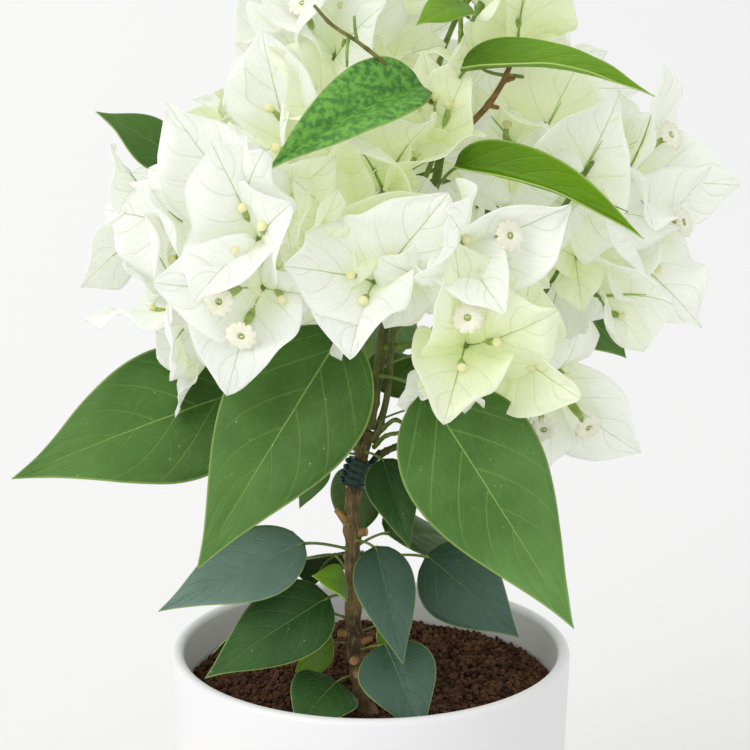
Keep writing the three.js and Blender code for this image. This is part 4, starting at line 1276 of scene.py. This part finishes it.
MASSES = {
    "crown_front": {"on": ("leader", 227), "heads": [
        head((-88, 30, 236), (-94, 18), (45, 44, 38), (280, 28, 36), (200, 32, 34)),
        head((-112, 17, 243), (-82, 26), (75, 44, 35), (320, 30, 34), (220, 34, 32), tint="young"),
        head((-71, 11, 259), (20, 76), (325, 50, 34), (280, 34, 34), (220, 62, 34), tint="young"),
        head((-159, 11, 252), (-106, 28), (275, 28, 33), (35, 30, 33), (180, 30, 33), tint="young"),
        head((-22, 20, 271), (-90, 66), (300, 20, 34), (60, 20, 33), (0, 22, 33), tint="young"),
    ]},
    "crown_front_right": {"on": ("leader", 211), "heads": [
        head((-54, 42, 246), (-72, 14), (70, 38, 36), (325, 40, 35), (170, 30, 35), flowers=1),
        head((-50, 42, 218), (-84, 8), (215, 27, 33), (350, 42, 39), (70, 34, 36), flowers=1, first=1,
             tint="young", behind=1),
        head((-29, 46, 214), (-92, 8), (20, 38, 32), (120, 30, 32), (255, 42, 34), tint="young", behind=0),
        head((-7, 52, 201), (-72, -18), (240, 36, 35), (130, 34, 35), (5, 44, 34), flowers=2, tint="far",
             behind=0),
    ]},
    "crown_left": {"on": ("bough_left", 232), "heads": [
        head((-130, 47, 236), (-98, -8), (290, 40, 35), (205, 28, 35), (85, 74, 30), flowers=2),
        head((-144, 45, 257), (-120, 16), (345, 34, 39), (285, 80, 34), (60, 58, 35)),
        head((-134, 45, 249), (-98, 26), (335, 26, 36), (85, 36, 34), (215, 38, 34)),
        head((-164, 52, 222), (176, 26), (45, 40, 41), (100, 76, 34), (200, 20, 34)),
        head((-160, 52, 248), (-150, 8), (60, 30, 34), (275, 50, 34), (150, 52, 34)),
        head((-150, 35, 233), (-84, 36), (280, 36, 33), (30, 22, 33), (125, 32, 33), tint="young"),
        head((172, 60, 246), (170, 14), (260, 44, 34), (150, 46, 33), (35, 38, 30), tint="far"),
    ], "leaves": [
        leaf((158, 51, 254), (170, 30, 8), (-172, 40, 32), (20, -40, 20), "green"),
    ]},
    "crown_right": {"on": ("bough_right", 240), "heads": [
        head((2, 73, 238), (-40, 12), (45, 30, 36), (300, 50, 34), (180, 36, 34), flowers=1, tint="far"),
        head((-3, 67, 225), (-8, 8), (285, 40, 36), (230, 62, 35), (20, 48, 34), tint="far", behind=0),
        head((8, 57, 234), (-60, -10), (235, 40, 33), (120, 34, 34), (350, 44, 33), tint="far", behind=1),
        head((14, 40, 260), (-96, 34), (255, 34, 34), (10, 46, 34), (120, 38, 34), tint="far"),
        head((24, 62, 248), (30, 8), (20, 42, 36), (140, 46, 36), (260, 48, 36), tint="far"),
        head((-4, 56, 252), (-10, 56), (295, 12, 43), (55, 56, 34), (190, 54, 34), tint="far"),
        head((9, 76, 257), (-44, 12), (10, 50, 35), (115, 26, 33), (245, 34, 33), flowers=1, tint="far"),
        head((12, 47, 261), (10, 62), (295, 18, 40), (350, 58, 34), (200, 58, 32), tint="young"),
    ]},
    "crown_top_left": {"on": ("bough_left", TIP), "heads": [
        head((180, 23, 268), (-136, 24), (5, 42, 36), (240, 40, 34), (110, 36, 36)),
        head((165, 8, 274), (-100, 48), (300, 24, 35), (60, 60, 33), (190, 44, 32), tint="young"),
        head((124, 19, 292), (-90, 44), (305, 44, 38), (15, 40, 38), (110, 40, 36), flowers=1, tint="far"),
        head((140, 24, 294), (150, 62), (30, 42, 38), (150, 46, 38), (270, 44, 38), tint="far"),
    ]},
    "crown_top": {"on": ("leader", TIP), "heads": [
        head((0, 42, 298), (-60, 80), (220, 20, 34), (90, 50, 34), (330, 50, 34), tint="young"),
        head((40, 26, 322), (-60, 72), (40, 42, 36), (160, 44, 36), (280, 46, 36), flowers=1, tint="far"),
    ], "leaves": [
        leaf((-10, 26, 308), (-78, 30, 8), (-121, 4, 26), (13, -20, 20), "bright"),
    ]},
}

PATCHES = {
    # name: (limb, height), headings, heights, how many heads, seed
    "crown_back_left": (("bough_back_left", 230), (112, 160), (216, 274), 4, 11),
    "crown_back": (("bough_back_left", 244), (72, 112), (222, 290), 5, 23),
    "crown_back_right": (("bough_back_right", 238), (30, 72), (212, 284), 4, 37),
    "crown_back_top": (("bough_back_right", TIP), (40, 130), (298, 322), 3, 41),
}
print("heads:", sum(len(mass["heads"]) for mass in MASSES.values()))

# %% [markdown]
# The back of the crown is filled by a rule. Heads stand evenly over a patch of the
# crown's round shell, by the golden share round it and by equal steps up it, and chance decides
# how each one faces, how wide its bracts open and how many flowers it has.

# %% The patches of the crown
CROWN = {"middle": 258, "high": 86, "reach": 60}
GOLDEN = 0.618034
WHORL = (0, 120, 240)


def shell_reach(height):
    up = (height - CROWN["middle"]) / CROWN["high"]
    return CROWN["reach"] * math.sqrt(max(0, 1 - up * up))


def spread(on, headings, heights, count, seed):
    """The heads of a patch of the crown's shell, evenly spaced with some chance in how they face."""
    chance = Chance(seed)
    (h0, h1), (z0, z1) = headings, heights
    heads = []
    for index in range(count):
        heading = h0 + (h1 - h0) * ((0.5 + index * GOLDEN) % 1)
        height = z0 + (z1 - z0) * ((index + 0.5) / count)
        rise = (height - CROWN["middle"]) * 0.8
        look = (heading + chance.between(-14, 14), rise + chance.between(-10, 10))
        clock, length = chance.between(0, 120), chance.between(35, 40)
        bracts = [(clock + turn, chance.between(36, 50), length) for turn in WHORL]
        heads.append(head((heading, shell_reach(height), height), look, *bracts,
                          flowers=math.floor(chance.between(0, 2.5))))
    return {"on": on, "heads": heads}


all_masses = {**MASSES, **{name: spread(*facts) for name, facts in PATCHES.items()}}
print("masses:", ", ".join(all_masses))

# %% [markdown]
# A bract leaves its head along a way between the head's axis and its own place on the clock, and
# its face looks back over the flowers. In the solids a bract that met something closed, opened or
# grew smaller, or was left out. Which of these it was is read from the solid: its tip lies on it.

# %% One bract
BRACT = {"wide": 0.84, "fold": 14, "curl": 24, "lap": 24, "apart": 0.6, "usual": 36, "thickness": 0.22}
SETTLINGS = [(scale, opening) for scale in (1, 0.9, 0.8, 0.7, 0.6)
             for opening in (0, -12, 12, -24, 24)]
NO_ROOM = 0.8
PAPER = {"widen": (1.04, 1.18), "fold": (-4, 24), "curl": (-48, 14), "wave": (1.4, 3.0),
         "waves": (1.1, 2.3), "phase": (0, 6.28), "crumple": (2.0, 4.0), "hook": (-0.08, 0.08)}


def leaning(degrees, start, goal):
    """A direction that turns by some degrees from one towards another, square to it."""
    angle = math.radians(degrees)
    return start * math.cos(angle) + goal * math.sin(angle)


def bract_shape(base, facing_way, clock, opening, length):
    """One bract of a head, and the way that the flower before it looks."""
    axis, left = direction(*facing_way), right_of(facing_way[0])
    out = leaning(clock, left.cross(axis), -left)
    way = leaning(opening, axis, out)
    face = turned(leaning(opening, -out, axis), way, BRACT["lap"])
    blade = {"base": base + out * BRACT["apart"], "way": way, "face": face, "length": length,
             "width": length * BRACT["wide"], "droop": BRACT["curl"], "fold": BRACT["fold"]}
    return blade, leaning(opening * 0.4, axis, out)


def surface_of(node_name):
    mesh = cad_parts[node_name].data
    return BVHTree.FromPolygons([vert.co for vert in mesh.vertices],
                                [list(face.vertices) for face in mesh.polygons])


def lies_on(surface, point, within=0.35):
    distance = surface.find_nearest(point * MM)[3]
    return distance is not None and distance < within * MM


def settled(surface, base, facing_way, bract):
    """The variant of a bract whose tip lies on the solid. One that had no room there grows small."""
    clock, opening, length = bract
    for scale, more in SETTLINGS:
        blade, look = bract_shape(base, facing_way, clock, opening + more, length * scale)
        if lies_on(surface, midrib(blade, 1.0)[0]):
            return blade, look, True
    return *bract_shape(base, facing_way, clock, opening, length * NO_ROOM), False


def papery(blade, chance):
    """The bract's own bends: no two curl, wave or crumple alike."""
    size = blade["length"] / BRACT["usual"]
    own = {bend: chance.between(*limits) for bend, limits in PAPER.items()}
    return {**blade, **BRACT_GRAIN, "width": blade["width"] * own["widen"],
            "fold": blade["fold"] + own["fold"], "curl": own["curl"], "quilt": 0.3 * size,
            "wave": own["wave"] * size, "waves": own["waves"], "phase": own["phase"],
            "crumple": own["crumple"] * size, "hook": own["hook"]}


print("a bract settles in", len(SETTLINGS), "ways")

# %% [markdown]
# Behind each head stand finer twigs, and each bears a small young head of its own. They fill the
# crown between the large heads, as the real bush does, and stay inside the heads' reach.

# %% Small young heads
TWIG = {"stem": 1.35, "tip": 0.85}
BEHIND = {"apart": 137.5, "wander": 25, "back": (5, 10), "aside": (9, 14), "forward": (0.5, 1.0),
          "outward": (0.4, 0.9), "length": (17, 22), "opening": (24, 42)}


def add_behind(bracts, twigs, base, facing_way, chance, count):
    axis, wander = direction(*facing_way), BEHIND["wander"]
    for index in range(count):
        turn = index * BEHIND["apart"] + chance.between(-wander, wander)
        side = turned(axis.orthogonal().normalized(), axis, turn)
        spot = base - axis * chance.between(*BEHIND["back"]) + side * chance.between(*BEHIND["aside"])
        look = axis * chance.between(*BEHIND["forward"]) + side * chance.between(*BEHIND["outward"])
        look = look.normalized()
        rise = math.degrees(math.asin(max(-1.0, min(1.0, look.z))))
        way = (math.degrees(math.atan2(look.y, look.x)), rise)
        sweep(twigs, bent_route(base - axis * 9, spot - look * 4, spot + look), taper(0.6, 0.4),
              sides=6, steps=5)
        clock = chance.between(0, 120)
        for third in WHORL:
            size = chance.between(*BEHIND["length"])
            blade, _ = bract_shape(spot, way, clock + third, chance.between(*BEHIND["opening"]), size)
            add_blade(bracts, papery(blade, chance), bract_outline, 10, 14,
                      SIDES * BRACT_ORDER.index("young" if index % 2 else "far"))


print("a small head is", BEHIND["length"], "mm long")

# %% [markdown]
# The mass is put together: the stem and its twigs, the small heads, and for each bract its blade,
# the ridge of its midrib, and the flower or the bud before it. Where the crown stays open to the
# sky, a bract has grown to a share of its length only and keeps a bud.

# %% Grow the masses
SMALL = {
    # mass, head, bract: the share that the bract has grown to
    ("crown_back_left", 4, 1): 0.5, ("crown_back_left", 3, 3): 0.8, ("crown_back", 5, 2): 0.7,
    ("crown_top_left", 4, 2): 0.5, ("crown_right", 2, 2): 0.6, ("crown_top", 1, 2): 0.6,
    ("crown_right", 3, 2): 0.85, ("crown_back_right", 1, 3): 0.8, ("crown_front", 5, 1): 0.48,
}
BUD_LENGTH = (6.5, 10)
RIB = 1  # the place of the rib's material among the twigs' materials
SEEDS = {"first": 117, "step": 17}


def grow_stem(twigs, on, bases):
    """The stem of a mass. Returns the place that its twigs spread from, and its way."""
    limb, height = on
    centre = sum(bases, Vector()) / len(bases)
    at = limb_routes[limb]
    foot = at(1.0 if height == TIP else at_height(at, height))
    heading = math.degrees(math.atan2(centre.y - foot.y, centre.x - foot.x))
    root, start = leaving(limb, height, heading)
    rising = (centre - start).normalized()
    span = max(9.0, (centre - start).length * 0.3)
    sweep(twigs, bent_route(root, start, start + rising * span), taper(TWIG["stem"], TWIG["stem"] * 0.8),
          sides=10, steps=8)
    return start + rising * span * 0.85, rising


def add_twig(twigs, origin, rising, base, axis):
    reach = (base - origin).length
    route = bent_route(origin, origin + rising * reach * 0.3, base - axis * reach * 0.35, base + axis)
    sweep(twigs, route, taper(TWIG["stem"] * 0.8, TWIG["tip"] * 0.85), sides=10, steps=20)


def add_bract(bracts, twigs, blade, share, tint, chance):
    shape = papery(blade, chance)
    shape["length"], shape["width"] = shape["length"] * share, shape["width"] * share
    add_blade(bracts, shape, bract_outline, 18, 26, SIDES * BRACT_ORDER.index(tint))
    ridge = [midrib(shape, s)[0] - midrib(shape, s)[1] * 0.25 for s in (0.0, 0.15, 0.35, 0.6)]
    sweep(twigs, smooth_route(ridge), taper(0.55, 0.12), sides=6, steps=8, material=RIB)


def add_head(made, name, number, row, base, found, chance):
    bracts, flowers, twigs = made
    add_behind(bracts, twigs, base, row["facing"], chance, row["behind"])
    for index, (blade, look, _) in enumerate(found):
        share = SMALL.get((name, number, index + 1), 1.0)
        add_bract(bracts, twigs, blade, share, row["tint"], chance)
        spot = midrib(blade, FLOWER["from"])[0]
        if share == 1.0 and (index - row["first"]) % 3 < row["flowers"]:
            add_flower(flowers, spot, look, chance)
        else:
            add_bud(flowers, spot, look, chance.between(*BUD_LENGTH) * share, chance)


def add_mass_leaves(name, rows, surface, twigs, origin, chance):
    """The small leaves of a mass, where the solid has them too."""
    leaves = new_blades()
    for row in rows:
        base = place_of(row["stand"])
        _, blade = leaf_shape(base, row, Chance(5))
        if lies_on(surface, midrib(blade, 1.0)[0], 0.8):
            sweep(twigs, bent_route(origin, origin.lerp(base, 0.5) + Vector((0, 0, 1)), base),
                  taper(TWIG["tip"], TWIG["tip"] * 0.7), sides=8, steps=8)
            add_leaf(leaves, twigs, base, base, row, chance)
    return leaves


def make_mass(name, mass, seed):
    surface = surface_of(name)
    bases = [place_of(row["place"]) for row in mass["heads"]]
    chance = Chance(seed)
    bracts, flowers, twigs = new_blades(), bmesh.new(), bmesh.new()
    origin, rising = grow_stem(twigs, mass["on"], bases)
    kept = 0
    for number, (row, base) in enumerate(zip(mass["heads"], bases), 1):
        found = [settled(surface, base, row["facing"], bract) for bract in row["bracts"]]
        standing = sum(1 for *_, stands in found if stands)
        if standing:
            kept += standing
            add_twig(twigs, origin, rising, base, direction(*row["facing"]))
            add_head((bracts, flowers, twigs), name, number, row, base, found, chance)
    leaves = add_mass_leaves(name, mass.get("leaves", []), surface, twigs, origin, chance)
    print(f"{name}: {kept} of {len(WHORL) * len(bases)} bracts stand")
    piece = finish_piece(bracts, f"{name}_bracts", bract_skins, [name], False)
    thicken(piece, BRACT["thickness"], 0)
    finish_piece(flowers, f"{name}_flowers", flower_skins, (), False)
    finish_piece(twigs, f"{name}_twigs", [petiole_green, rib_green])
    if len(leaves.verts):
        thicken(finish_piece(leaves, f"{name}_leaves", leaf_skins, (), False), 0.4)
    else:
        leaves.free()


for turn, (mass_name, mass) in enumerate(all_masses.items()):
    if mass_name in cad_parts:
        make_mass(mass_name, mass, SEEDS["first"] + SEEDS["step"] * turn)
